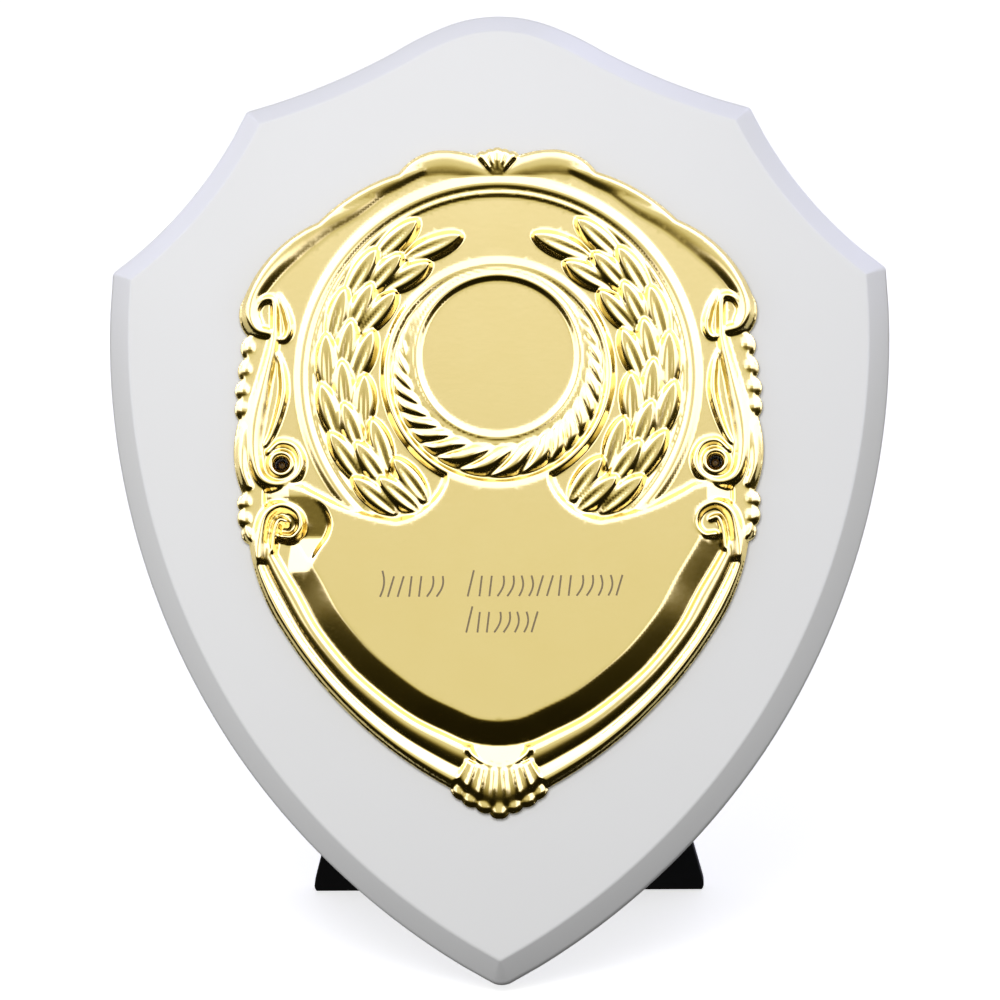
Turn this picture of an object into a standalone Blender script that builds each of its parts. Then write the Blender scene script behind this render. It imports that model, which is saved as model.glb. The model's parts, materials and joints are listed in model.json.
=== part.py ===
"""Award shield plaque: a white bevelled board with a pressed gold front, standing on a black easel strut.

Metres, +Z up. The plaque faces -Y and leans back; the strut swings on a pin behind it.
Over the face, x runs to the right, w runs up from the board's tip and n stands out towards the viewer.
The ornament is worked out in millimetres over the face and scaled to metres when its mesh is made.
"""
import math

import bmesh
import bpy
import numpy as np
from mathutils import Matrix, Vector
from mathutils.geometry import delaunay_2d_cdt

MM = 0.001
GAP = 0.3

# Driving sizes of the board, in millimetres
BOARD_THICKNESS = 12.0
BEVEL_WIDTH = 3.5
BEVEL_DEPTH = 4.5
BACK_CHAMFER = 0.6
LEAN_BACK = math.radians(20.0)
TIP_FLAT = 0.4

# Driving sizes of the gold front, in millimetres above the board's face
FRONT_BACK = GAP
FRONT_EDGE = 0.75
EDGE_ROLL = 0.9
GROUND = 1.6
FIELD = 2.75
BORDER_GROUND = 0.9
PIN_CENTRE = (34.8, 83.1)
PIN_HOLE_RADIUS = 1.05
PIN_HOLE_DEPTH = 6.5
PIN_HEAD_RADIUS = 0.72
PIN_SHANK_RADIUS = 0.45
PIN_TOP, PIN_LENGTH, PIN_TAPER = -0.45, 5.6, 0.8

# Driving sizes of the strut and its hinge, in millimetres
HINGE_HEIGHT = 95.0
PLATE_THICKNESS = 1.6
PLATE_WIDTH = 27.0
PLATE_BELOW, PLATE_ABOVE = 4.5, 17.0
PLATE_CORNER = 2.0
AXIS_ABOVE_PLATE = 2.6
KNUCKLE_RADIUS = 2.2
KNUCKLE_HALF_WIDTH = 6.6
EAR_INNER, EAR_OUTER, EAR_ROOT = 7.0, 10.4, 0.5
PIN_RADIUS, PIN_OVERHANG = 0.9, 0.5
BORE_RADIUS = 1.25
STRUT_THICKNESS = 2.5
STRUT_FOOT_WIDTH = 67.0
STRUT_SIDE_ANGLE = math.radians(14.4)
STRUT_CORNER = 1.4
STRUT_OPEN = math.radians(29.3)
STRUT_FLAT = 0.45
STRUT_NECK = 3.3
PANEL_MARGIN, PANEL_DEPTH = 4.0, 0.6
HEEL_HEIGHT = 4.0
SCREW_X, SCREW_ABOVE = 8.2, 10.5
SCREW_HEAD_RADIUS, SCREW_HEAD_HEIGHT = 2.3, 1.3
SCREW_SHANK_RADIUS, SCREW_LENGTH, SCREW_POINT = 1.1, 9.0, 1.0
SCREW_HOLE_RADIUS = SCREW_SHANK_RADIUS + GAP + 0.05
RECESS_HALF_LENGTH, RECESS_HALF_WIDTH, RECESS_DEPTH = 1.1, 0.22, 0.6
SCREW_HOLE_DEPTH = 8.0
CUTTER_OVERRUN = 1.0

# How finely the ornament is faceted, in millimetres and points
START_SPACING, BACK_SPACING = 3.2, 9.0
INNER_POINTS = 2800
REFINE_ROUNDS = 11
CLOSEST_POINTS = 0.34


def arc(start, end, bulge, steps):
    """Points from start to just before end along an arc that stands bulge to the left of travel."""
    (x0, w0), (x1, w1) = start, end
    if abs(bulge) < 1e-6:
        return [(x0 + (x1 - x0) * i / steps, w0 + (w1 - w0) * i / steps) for i in range(steps)]
    chord = math.hypot(x1 - x0, w1 - w0)
    radius = (chord * chord / 4 + bulge * bulge) / (2 * bulge)
    left = (-(w1 - w0) / chord, (x1 - x0) / chord)
    reach = bulge - radius
    centre = ((x0 + x1) / 2 + left[0] * reach, (w0 + w1) / 2 + left[1] * reach)
    first = math.atan2(w0 - centre[1], x0 - centre[0])
    last = math.atan2(w1 - centre[1], x1 - centre[0])
    turn = (last - first + math.pi) % (2 * math.pi) - math.pi
    angles = [first + turn * i / steps for i in range(steps)]
    return [(centre[0] + abs(radius) * math.cos(a), centre[1] + abs(radius) * math.sin(a)) for a in angles]


def chain(stations):
    """A line through stations (x, w, bulge, steps); each bulge belongs to the arc that leaves its station."""
    line = []
    for (x0, w0, bulge, steps), (x1, w1, _, _) in zip(stations, stations[1:]):
        line += arc((x0, w0), (x1, w1), bulge, steps)
    return line + [stations[-1][:2]]


def both_halves(right):
    """A closed loop from its right half, which runs from the top centre down to the bottom centre."""
    return right + [(-x, w) for x, w in reversed(right[1:-1])]


def smooth_line(points, steps=8):
    """A Catmull-Rom curve through the points."""
    knots = [np.array(p, float) for p in points]
    knots = [2 * knots[0] - knots[1]] + knots + [2 * knots[-1] - knots[-2]]
    line = []
    for a, b, c, d in zip(knots, knots[1:], knots[2:], knots[3:]):
        for t in np.arange(steps) / steps:
            line.append(0.5 * (2 * b + (c - a) * t + (2 * a - 5 * b + 4 * c - d) * t ** 2
                               + (3 * b - a - 3 * c + d) * t ** 3))
    return [tuple(p) for p in line + [knots[-2]]]


# Right half of the board from the crown down, with its sharp corners: crown, top edge, flank, side, tip
SHOULDER, HIP, TIP = (41.0, 141.9), (62.7, 115.4), (0.0, -0.4)
BOARD_HALF = [
    (0.0, 157.4, 0.52, 5), (9.75, 155.3, 0.15, 2), (16.6, 151.8, -0.78, 7), (*SHOULDER, -2.15, 9),
    (*HIP, 6.85, 15), (42.7, 37.7, 3.55, 10), (*TIP, 0.0, 1)]
CORNER_OUTER, CORNER_INNER = 1.1, 0.25
TIP_OUTER, TIP_INNER = 3.2, 0.6

# Right half of the gold front from the top shell down: lobes, beads, long edge, beads, border, bottom shell
FRONT_HALF = [
    (0.0, 134.62, 0.12, 2), (0.75, 134.3, 0.28, 2), (1.95, 133.9, 0.35, 2), (3.5, 133.3, 0.3, 3),
    (9.6, 134.2, 0.8, 5), (16.0, 130.5, 0.95, 6), (28.95, 122.6, 1.75, 7), (40.9, 110.3, 1.1, 6),
    (40.3, 104.0, 0.85, 4), (40.85, 100.3, 0.75, 4), (41.4, 96.8, 0.75, 4), (41.8, 93.7, 0.65, 4),
    (41.7, 90.4, 1.1, 6), (41.1, 78.4, 0.65, 4), (41.5, 75.8, 0.6, 4), (41.1, 72.8, 0.6, 4),
    (40.0, 70.3, 0.85, 5), (34.5, 56.1, 2.35, 10), (7.8, 31.0, 0.45, 3), (6.05, 29.05, 0.45, 3),
    (3.8, 27.95, 0.45, 3), (1.55, 27.05, 0.35, 2), (0.0, 26.1, 0.0, 1)]

# Middles of the beads along the edge
EDGE_BEADS = [(39.9, 102.1), (40.4, 98.5), (40.8, 95.2), (40.9, 92.1),
              (40.4, 77.1), (40.3, 74.3), (39.4, 71.6)]
BEAD_WIDTH, BEAD_LENGTH, BEAD_RISE = 1.5, 1.65, 1.15

# Rings round the wreath, the rope and the centre disc: middle, crest radius, half width, rise
RING_CENTRE = (0.0, 97.1)
RING_BROAD = (31.5, 1.2, 0.7)
RING_THIN = (29.9, 0.6, 0.42)
CRESCENT_CENTRE = (0.0, 97.5)
CRESCENT_RING = (17.9, 1.0, 1.05)
CRESCENT_FADE, CRESCENT_FADED = (math.radians(80.0), math.radians(150.0)), 0.65
DISC_CENTRE = (0.0, 100.4)
DISC_RIM = (13.2, 0.85, 0.55)
DISC_STEP = (14.1, 0.6, 0.4)

# Rope between the disc and the crescent ring
ROPE_INNER, ROPE_OUTER = 14.35, 16.95
ROPE_REACH = math.radians(157.0)
ROPE_PITCH = math.radians(17.5)
ROPE_SLANT = 1.45
ROPE_RISE, ROPE_FURROW, ROPE_TAPER = 0.28, 0.25, 0.6
ROPE_TIGHTENS_FROM, ROPE_TIGHTEN_POWER, ROPE_TIGHTEN = 30.0, 1.15, 48.0

# Wreath rows: radius, angle of the first leaf above level, step down, leaves, lean, length
WREATH_ROWS = [
    (27.6, 54.0, 16.4, 7, -6.0, 9.4), (24.8, 42.6, 15.5, 7, 0.0, 8.6), (21.9, 48.0, 19.6, 6, 13.0, 9.0),
    (23.5, 63.7, 0.0, 1, 4.0, 10.2)]
LEAF_HALF_WIDTH, LEAF_LOW, LEAF_HIGH = 1.95, 0.4, 1.75
LEAF_FURROW, LEAF_FURROW_WIDTH, LEAF_FULLNESS = 0.4, 0.3, 0.6

# Edges of the engraving field: its upper edge under the wreath and the foot of the slope around it
FIELD_TOP = chain([(7.6, 81.2, -1.9, 8), (16.4, 73.3, -0.85, 8), (31.6, 78.9, 0.0, 1), (36.0, 80.0, 0.0, 1)])
FIELD_FOOT = smooth_line([(-8.5, 39.8), (0, 38.5), (8.5, 39.8), (13.6, 42.35), (18.6, 45.95), (23.7, 50.5),
                          (28.9, 56.6), (32.2, 62.4), (35.2, 67.5), (37.0, 71.5), (37.5, 76.0), (37.5, 84.0)])
FIELD_SLOPE, FIELD_LOW, FIELD_ROUND = 3.9, 0.9, 1.12
FIELD_STEP = (-1.3, 0.15)
FIELD_CRESCENT, FIELD_CRESCENT_HALF = 18.3, 8.0
FIELD_LIMIT, WREATH_LIMIT = 84.0, 82.0
HOLLOW_EDGE = smooth_line([
    (-29.4, 78.2), (-27.6, 76.4), (-26.6, 73.6), (-27.2, 71.2), (-28.7, 68.9), (-30.4, 65.4)])
HOLLOW_TOP, HOLLOW_VALLEY, HOLLOW_BOTTOM, HOLLOW_DEPTH, HOLLOW_WALL = 78.0, 71.2, 65.8, 1.75, 0.8

# Mouldings of the lower border, measured in from its edge: distance, half width, rise
LOWER_EDGE = chain([(41.1, 72.8, 0.9, 6), (34.5, 56.1, 2.35, 14), (7.8, 31.0, 0.0, 1)])
BORDER_MOULDINGS = [(1.2, 1.5, 1.0), (4.05, 1.45, 1.2)]
BORDER_TOP = 73.0

# Strands of the scrollwork: points, half widths and rises spread evenly along each
LOBE_STRANDS = [
    ([(1.2, 130.3), (5.0, 131.9), (8.7, 132.6), (12.6, 131.7), (15.3, 130.3)],
     [1.0, 1.9, 2.2, 1.9, 1.0], [0.3, 0.5, 0.55, 0.5, 0.4]),
    ([(11.8, 131.1), (15.8, 129.8), (20.4, 128.0), (25.0, 125.2), (28.0, 123.2)],
     [0.8, 1.5, 1.9, 1.7, 0.9], [0.5, 0.65, 0.65, 0.55, 0.3]),
    ([(18.9, 127.0), (23.5, 124.6), (28.4, 122.4), (32.8, 119.4), (36.6, 115.4), (39.2, 111.0),
      (39.9, 107.4), (38.9, 105.0), (36.6, 104.2)],
     [0.6, 1.3, 1.8, 2.2, 2.2, 1.8, 1.3, 1.1, 0.8],
     [0.3, 0.45, 0.55, 0.65, 0.75, 0.95, 1.1, 1.1, 0.9])]
LOBE_SIDES = (1.05, 1.3)
SCROLL_STRANDS = [
    ([(38.3, 105.8), (38.9, 107.8), (38.0, 109.6), (36.4, 109.9), (35.9, 108.6), (35.9, 104.0)],
     [0.7, 0.75, 0.8, 0.8, 0.8, 0.9], [0.8, 0.9, 1.0, 1.1, 1.2, 1.2]),
    ([(35.2, 110.4), (34.0, 107.6), (33.5, 105.0), (34.2, 103.4), (35.6, 103.4)],
     [0.5, 0.8, 0.9, 0.8, 0.6], [0.7, 1.0, 1.1, 0.9, 0.6]),
    ([(35.9, 104.0), (36.6, 100.5), (37.8, 95.5), (39.0, 90.0), (39.2, 85.0), (38.1, 81.0), (35.4, 79.8),
      (32.6, 80.9), (31.6, 83.4), (32.7, 85.9), (35.0, 86.5), (36.9, 85.0)],
     [1.0, 1.25, 1.45, 1.8, 1.85, 1.5, 1.3, 1.2, 1.1, 1.0, 0.85, 0.6],
     [1.2, 1.3, 1.3, 1.3, 1.3, 1.25, 1.2, 1.2, 1.2, 1.15, 1.1, 1.0]),
    ([(35.4, 101.0), (34.7, 98.6), (34.4, 95.0), (35.1, 91.4), (36.3, 87.9), (37.3, 86.2)],
     [0.4, 0.8, 0.95, 0.9, 0.7, 0.5], [0.7, 1.1, 1.2, 1.1, 1.0, 0.7]),
    ([(40.6, 89.0), (41.0, 85.0), (40.9, 82.0), (40.0, 79.6)], [0.9, 1.2, 1.2, 0.9], [0.7, 0.9, 0.9, 0.7]),
    ([(38.6, 68.0), (38.3, 71.0), (37.3, 74.8), (34.8, 76.4), (32.3, 75.3), (31.6, 73.0), (32.9, 71.3),
      (34.8, 71.4)],
     [1.3, 1.35, 1.25, 1.15, 1.1, 1.0, 0.85, 0.6], [1.2, 1.3, 1.5, 1.65, 1.65, 1.6, 1.5, 1.3]),
    ([(36.2, 69.0), (36.0, 71.6), (35.2, 74.0), (33.9, 73.8)], [0.5, 0.7, 0.8, 0.6], [1.0, 1.1, 1.2, 1.1])]
VOLUTE_SEAT, VOLUTE_SEAT_RADIUS, VOLUTE_SEAT_LEVEL = (34.6, 73.6), 3.3, 1.9
PIN_BOSS = (1.75, 0.75, 1.05)

# Shells at the foot and the top of the front
FOOT_SHELL_CENTRE, FOOT_SHELL_SPREAD, FLUTE_STEP = (0.0, 44.9), math.radians(28.5), math.radians(8.1)
FOOT_SHELL_INNER, FLUTE_END, FLUTE_SHORTER, FLUTE_DROP = 10.3, 16.1, 5.0, 0.9
FLUTE_FLOOR, FLUTE_FALL, FLUTE_RIDGE, HEAD_LEVEL, HEAD_RISE = 1.5, 1.0, 0.5, 0.1, 0.2
DISH_CENTRE, DISH_TOP, DISH_RADIUS, DISH_LIP = (0.0, 40.4), 37.5, 5.5, (6.0, 0.6, 1.5)
DISH_LOW, DISH_RISE = 0.1, 1.3
DISH_KNOB, DISH_KNOB_SIZE = (4.9, 37.0), (1.0, 1.5)
TOP_SHELL_CENTRE, TOP_SHELL_SPREAD, TOP_RIB_STEP = (0.0, 129.2), math.radians(42.0), math.radians(17.0)
TOP_SHELL_INNER, TOP_SHELL_OUTER, TOP_SHELL_RISE, TOP_SHELL_START = 0.8, 6.5, 1.1, 3.0


def nearest(x, w, line):
    """Distance to a line, place along it from 0 to 1, and its side, positive to the left of travel."""
    line = np.asarray(line, float)
    runs = np.diff(line, axis=0)
    lengths = np.hypot(runs[:, 0], runs[:, 1])
    starts = np.concatenate([[0.0], np.cumsum(lengths)])
    best = np.full(x.shape, np.inf)
    along = np.zeros(x.shape)
    side = np.zeros(x.shape)
    for (px, pw), (dx, dw), length, start in zip(line, runs, lengths, starts):
        t = np.clip(((x - px) * dx + (w - pw) * dw) / length ** 2, 0, 1)
        ex, ew = x - px - t * dx, w - pw - t * dw
        distance = np.hypot(ex, ew)
        closer = distance < best
        best = np.where(closer, distance, best)
        along = np.where(closer, (start + t * length) / starts[-1], along)
        side = np.where(closer, np.sign(dx * ew - dw * ex), side)
    return best, along, side


def from_centre(x, w, centre):
    """Distance from a centre, and the angle from straight down."""
    return np.hypot(x - centre[0], w - centre[1]), np.arctan2(x - centre[0], centre[1] - w)


def ease(start, end, value):
    """A smooth step from 0 at start to 1 at end."""
    t = np.clip((value - start) / (end - start), 0, 1)
    return t * t * (3 - 2 * t)


def hill(distance, half_width, power=1.1):
    """A rounded cross-section: 1 on its line and 0 at half its width away."""
    return np.clip(1 - (distance / half_width) ** 2, 0, 1) ** power


def bead_round(radius, bead):
    """Height of a ring-shaped bead (crest radius, half width, rise) at a radius."""
    crest, half_width, rise = bead
    return rise * hill(radius - crest, half_width, 1.4)


def lay(height, base, rise):
    """The height with a shape laid over it from a base, only where the shape rises."""
    return np.where(rise > 0, np.maximum(height, base + rise), height)


def add_strands(height, x, w, strands, base, sides=(1.0, 1.0)):
    """Lay rounded strands over the height; sides widen them to the left and the right of their travel."""
    for points, widths, rises in strands:
        distance, along, side = nearest(x, w, smooth_line(points))
        half_width = np.interp(along, np.linspace(0, 1, len(widths)), widths)
        half_width = half_width * np.where(side > 0, *sides)
        rise = np.interp(along, np.linspace(0, 1, len(rises)), rises)
        height = lay(height, base, rise * hill(distance, half_width, 1.3))
    return height


def leaf(x, w, stalk, angle, length):
    """Rise of one laurel leaf: a pointed boat with a furrow, low at its stalk and high at its tip."""
    along_x, along_w = math.sin(angle), math.cos(angle)
    s = ((x - stalk[0]) * along_x + (w - stalk[1]) * along_w) / length
    across = np.abs((x - stalk[0]) * along_w - (w - stalk[1]) * along_x)
    inside = np.clip(s, 1e-4, 1 - 1e-4)
    half_width = LEAF_HALF_WIDTH * (4 * inside * (1 - inside)) ** LEAF_FULLNESS
    r = np.clip(across / half_width, 0, 1)
    furrow = LEAF_FURROW * np.exp(-(r / LEAF_FURROW_WIDTH) ** 2) * (1.15 - inside)
    body = LEAF_LOW + (LEAF_HIGH - LEAF_LOW) * (1 - (1 - inside) ** 2)
    return np.where((s > 0) & (s < 1), body * ((1 - r ** 2.4) ** 0.6 - furrow), 0.0)


def wreath(x, w):
    """Rise of one laurel branch: rows of leaves round the ring's centre, tips up and inward."""
    rise = np.zeros(x.shape)
    for radius, first, step, count, lean, length in WREATH_ROWS:
        for k in range(count):
            place = math.radians(first - step * k)
            angle = -(place + math.radians(lean))
            middle = (RING_CENTRE[0] + radius * math.cos(place), RING_CENTRE[1] + radius * math.sin(place))
            stalk = (middle[0] - math.sin(angle) * length / 2, middle[1] - math.cos(angle) * length / 2)
            rise = np.maximum(rise, leaf(x, w, stalk, angle, length))
    return rise


def rope(x, w):
    """Rise of the twisted rope, which tapers up both sides of the disc."""
    radius, angle = from_centre(x, w, CRESCENT_CENTRE)
    offset = DISC_CENTRE[1] - CRESCENT_CENTRE[1]
    inner = np.sqrt(ROPE_INNER ** 2 - (offset * np.sin(angle)) ** 2) - offset * np.cos(angle)
    width = np.maximum(ROPE_OUTER - inner, 1e-6)
    across = (radius - inner) / width
    reached = np.abs(angle)
    beyond = np.maximum(np.degrees(reached) - ROPE_TIGHTENS_FROM, 0)
    tightened = beyond ** ROPE_TIGHTEN_POWER / ROPE_TIGHTEN
    strand = np.sign(angle) * (reached / ROPE_PITCH + tightened) + ROPE_SLANT * across
    phase = strand - np.floor(strand)
    body = np.clip(1 - (2 * phase - 1) ** 2, 0, 1) ** 0.75
    section = np.clip(1 - np.abs(2 * across - 1) ** 2.6, 0, 1) ** 0.8
    taper = np.clip((ROPE_REACH - reached) / ROPE_TAPER, 0, 1)
    return ROPE_RISE * width * taper * section * (ROPE_FURROW + (1 - ROPE_FURROW) * body)


def add_foot_shell(height, x, w):
    """The bottom shell: flutes between thin ridges, round heads, and a dish with a rolled lip above them."""
    radius, angle = from_centre(x, w, FOOT_SHELL_CENTRE)
    round_part = np.abs(np.cos(np.pi * angle / FLUTE_STEP))
    grow = ease(FOOT_SHELL_INNER - 0.3, FOOT_SHELL_INNER + 0.7, radius)
    out = np.clip((radius - FOOT_SHELL_INNER) / (FLUTE_END - FOOT_SHELL_INNER), 0, 1)
    flutes = grow * (FLUTE_FLOOR - FLUTE_FALL * out ** 2 + FLUTE_RIDGE * (1 - round_part) ** 3)
    heads = HEAD_LEVEL + HEAD_RISE * round_part ** 0.7
    drop = ease(0.0, FLUTE_DROP, radius - FLUTE_END + FLUTE_SHORTER * np.abs(angle))
    fan = (radius > FOOT_SHELL_INNER) & (np.abs(angle) < FOOT_SHELL_SPREAD)
    height = np.where(fan, BORDER_GROUND + flutes * (1 - drop) + heads * drop, height)
    dish, _ = from_centre(x, w, DISH_CENTRE)
    lip = (w < DISH_TOP) & (np.abs(dish - DISH_LIP[0]) < DISH_LIP[1])
    height = np.where(lip, lay(height, BORDER_GROUND, bead_round(dish, DISH_LIP)), height)
    below_top = np.clip((DISH_TOP - w) / (DISH_TOP - DISH_CENTRE[1] + DISH_RADIUS), 0, 1)
    bowl = (w < DISH_TOP) & (dish <= DISH_RADIUS)
    height = np.where(bowl, BORDER_GROUND + DISH_LOW + DISH_RISE * below_top, height)
    knob = np.hypot(np.abs(x) - DISH_KNOB[0], w - DISH_KNOB[1])
    return lay(height, BORDER_GROUND, DISH_KNOB_SIZE[1] * hill(knob, DISH_KNOB_SIZE[0], 0.8))


def add_top_shell(height, x, w):
    """The small fan at the top of the front."""
    radius, angle = from_centre(x, w, TOP_SHELL_CENTRE)
    up = math.pi - np.abs(angle)
    rib = np.abs(np.cos(np.pi * up / TOP_RIB_STEP))
    fan = (up < TOP_SHELL_SPREAD) & (radius > TOP_SHELL_INNER) & (radius < TOP_SHELL_OUTER)
    grow = np.clip(radius / TOP_SHELL_START, 0, 1)
    return np.where(fan, GROUND + TOP_SHELL_RISE * grow * (0.45 + 0.55 * rib), height)


def relief(x, w):
    """Height of the gold front's face above the board, in millimetres."""
    across = np.abs(x)
    ring, _ = from_centre(x, w, RING_CENTRE)
    crescent, turn = from_centre(x, w, CRESCENT_CENTRE)
    disc, _ = from_centre(x, w, DISC_CENTRE)
    foot_distance, _, foot_side = nearest(across, w, FIELD_FOOT)
    in_from_foot = foot_distance * foot_side
    top_distance, _, top_side = nearest(across, w, FIELD_TOP)
    below_top = np.minimum(-top_distance * top_side, crescent - FIELD_CRESCENT + 0.7)
    below_top = np.where(across > FIELD_CRESCENT_HALF, below_top, crescent - FIELD_CRESCENT)

    slope = 1 - np.clip(1 - in_from_foot / FIELD_SLOPE, 0, 1) ** FIELD_ROUND
    wall, _, wall_side = nearest(x, w, HOLLOW_EDGE)
    falling = (HOLLOW_TOP - w) / (HOLLOW_TOP - HOLLOW_VALLEY)
    rising = (w - HOLLOW_BOTTOM) / (HOLLOW_VALLEY - HOLLOW_BOTTOM)
    depth = HOLLOW_DEPTH * np.clip(np.minimum(falling, rising), 0, 1)
    hollow = depth * ease(0.0, HOLLOW_WALL, -wall * wall_side)
    field = FIELD_LOW + (FIELD - FIELD_LOW) * slope - hollow
    field = GROUND + (field - GROUND) * ease(*FIELD_STEP, below_top)
    height = np.where((w < FIELD_LIMIT) & (in_from_foot > 0), field, GROUND)

    above_field = np.where(w > WREATH_LIMIT, 1.0, np.clip(0.5 - below_top, 0, 1))
    rings = np.maximum(bead_round(ring, RING_BROAD), bead_round(ring, RING_THIN))
    leaves = np.where(ring < RING_THIN[0] - 0.3, wreath(across, w), 0.0)
    height = lay(height, GROUND, np.maximum(rings, leaves) * above_field)

    height = np.where(crescent < CRESCENT_RING[0], GROUND, height)
    faded = 1 - CRESCENT_FADED * ease(*CRESCENT_FADE, np.abs(turn))
    height = lay(height, GROUND, faded * bead_round(crescent, CRESCENT_RING))
    height = np.where(crescent < ROPE_OUTER, GROUND + rope(x, w), height)
    height = np.where(disc < DISC_RIM[0], GROUND, height)
    height = lay(height, GROUND, np.maximum(bead_round(disc, DISC_RIM), bead_round(disc, DISC_STEP)))

    in_from_edge, _, edge_side = nearest(across, w, LOWER_EDGE)
    mouldings = [bead_round(in_from_edge, moulding) for moulding in BORDER_MOULDINGS]
    border = (w < BORDER_TOP) & (in_from_foot <= 0) & (edge_side <= 0)
    height = np.where(border, BORDER_GROUND + np.maximum.reduce(mouldings), height)

    seat, _ = from_centre(across, w, VOLUTE_SEAT)
    height = np.where(seat < VOLUTE_SEAT_RADIUS, np.minimum(height, VOLUTE_SEAT_LEVEL), height)
    height = add_strands(height, across, w, LOBE_STRANDS, GROUND, LOBE_SIDES)
    height = add_strands(height, across, w, SCROLL_STRANDS, GROUND - 0.2)
    boss, _ = from_centre(across, w, PIN_CENTRE)
    height = lay(height, GROUND, bead_round(boss, PIN_BOSS))
    for bead_x, bead_w in EDGE_BEADS:
        away = np.hypot((across - bead_x) / BEAD_WIDTH, (w - bead_w) / BEAD_LENGTH)
        height = lay(height, FRONT_EDGE, BEAD_RISE * hill(away, 1.0, 0.7))
    height = add_foot_shell(height, x, w)
    height = add_top_shell(height, x, w)

    outline = both_halves(chain(FRONT_HALF))
    to_edge, _, _ = nearest(x, w, outline + outline[:1])
    roll = 1 - (1 - np.clip(to_edge / EDGE_ROLL, 0, 1)) ** 2
    return FRONT_EDGE + (np.maximum(height, FRONT_EDGE) - FRONT_EDGE) * roll


def circle(centre, radius, sides):
    """A closed loop of points round a centre."""
    turns = [2 * math.pi * i / sides for i in range(sides)]
    return [(centre[0] + radius * math.cos(a), centre[1] + radius * math.sin(a)) for a in turns]


def fill_loops(loops, inner):
    """Triangles that fill the first loop around its holes, through the inner points, with all the points."""
    points = [p for loop in loops for p in loop]
    edges = []
    first = 0
    for loop in loops:
        edges += [(first + i, first + (i + 1) % len(loop)) for i in range(len(loop))]
        first += len(loop)
    flat = [Vector(p) for p in points + list(inner)]
    result = delaunay_2d_cdt(flat, edges, [], 1, 1e-7)
    where = np.array([tuple(v) for v in result[0]])
    triangles = np.array(result[2])
    middles = where[triangles].mean(axis=1)
    keep = np.ones(len(triangles), bool)
    for hole in loops[1:]:
        hole = np.array(hole)
        centre = hole.mean(axis=0)
        radius = np.hypot(*(hole[0] - centre))
        nearest_middle = radius * math.cos(math.pi / len(hole))
        keep &= np.hypot(*(middles - centre).T) > nearest_middle
    return where, triangles[keep]


def even_points(outline, spacing):
    """A triangular grid of points inside a closed outline."""
    outline = np.array(outline)
    low, high = outline.min(axis=0), outline.max(axis=0)
    rows = np.arange(low[1], high[1], spacing * math.sqrt(0.75))
    places = np.arange(low[0], high[0], spacing)
    grid = np.array([(x + (k % 2) * spacing / 2, w) for k, w in enumerate(rows) for x in places])
    distance, _, _ = nearest(grid[:, 0], grid[:, 1], np.vstack([outline, outline[:1]]))
    inside = np.zeros(len(grid), bool)
    for (x0, w0), (x1, w1) in zip(outline, np.roll(outline, -1, axis=0)):
        crosses = (grid[:, 1] > w0) != (grid[:, 1] > w1)
        at = x0 + (grid[:, 1] - w0) / np.where(w1 == w0, 1.0, w1 - w0) * (x1 - x0)
        inside ^= crosses & (grid[:, 0] < at)
    return [tuple(p) for p in grid[inside & (distance > spacing * 0.4)]]


def refine(loops):
    """Inner points that follow the relief: each round adds them where the facets miss it most."""
    points = even_points(loops[0], START_SPACING)
    shares = np.array([[1 / 3, 1 / 3, 1 / 3], [0.6, 0.2, 0.2], [0.2, 0.6, 0.2], [0.2, 0.2, 0.6]])
    for turn in range(REFINE_ROUNDS):
        where, triangles = fill_loops(loops, points)
        height = relief(where[:, 0], where[:, 1])
        spots = np.einsum('sk,tkc->tsc', shares, where[triangles]).reshape(-1, 2)
        flat = np.einsum('sk,tk->ts', shares, height[triangles]).reshape(-1)
        miss = np.abs(relief(spots[:, 0], spots[:, 1]) - flat)
        taken = {(round(x / CLOSEST_POINTS), round(w / CLOSEST_POINTS)) for x, w in where}
        goal = len(points) + (INNER_POINTS - len(points)) // (REFINE_ROUNDS - turn)
        for spot in np.argsort(-miss, kind='stable'):
            if len(points) >= goal:
                break
            x, w = spots[spot]
            cell = (round(x / CLOSEST_POINTS), round(w / CLOSEST_POINTS))
            if any((cell[0] + i, cell[1] + k) in taken for i in (-1, 0, 1) for k in (-1, 0, 1)):
                continue
            taken.add(cell)
            points.append((float(x), float(w)))
    return points


def material(name, colour, roughness, metallic=0.0):
    """A plain finish."""
    finish = bpy.data.materials.new(name)
    finish.use_nodes = True
    shader = finish.node_tree.nodes['Principled BSDF']
    shader.inputs['Base Color'].default_value = (*colour, 1.0)
    shader.inputs['Roughness'].default_value = roughness
    shader.inputs['Metallic'].default_value = metallic
    return finish


def add_object(name, mesh_source, finish, parent, smooth_angle=40.0):
    """An object from a bmesh in millimetres, or from vertices and faces in millimetres."""
    mesh = bpy.data.meshes.new(name)
    if isinstance(mesh_source, bmesh.types.BMesh):
        bmesh.ops.scale(mesh_source, vec=(MM, MM, MM), verts=mesh_source.verts)
        bmesh.ops.recalc_face_normals(mesh_source, faces=mesh_source.faces)
        mesh_source.to_mesh(mesh)
        mesh_source.free()
    else:
        vertices, faces = mesh_source
        mesh.from_pydata([(x * MM, y * MM, z * MM) for x, y, z in vertices], [], faces)
    mesh.shade_smooth()
    mesh.set_sharp_from_angle(angle=math.radians(smooth_angle))
    item = bpy.data.objects.new(name, mesh)
    bpy.context.scene.collection.objects.link(item)
    if finish is not None:
        mesh.materials.append(finish)
    item.parent = parent
    return item


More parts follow.
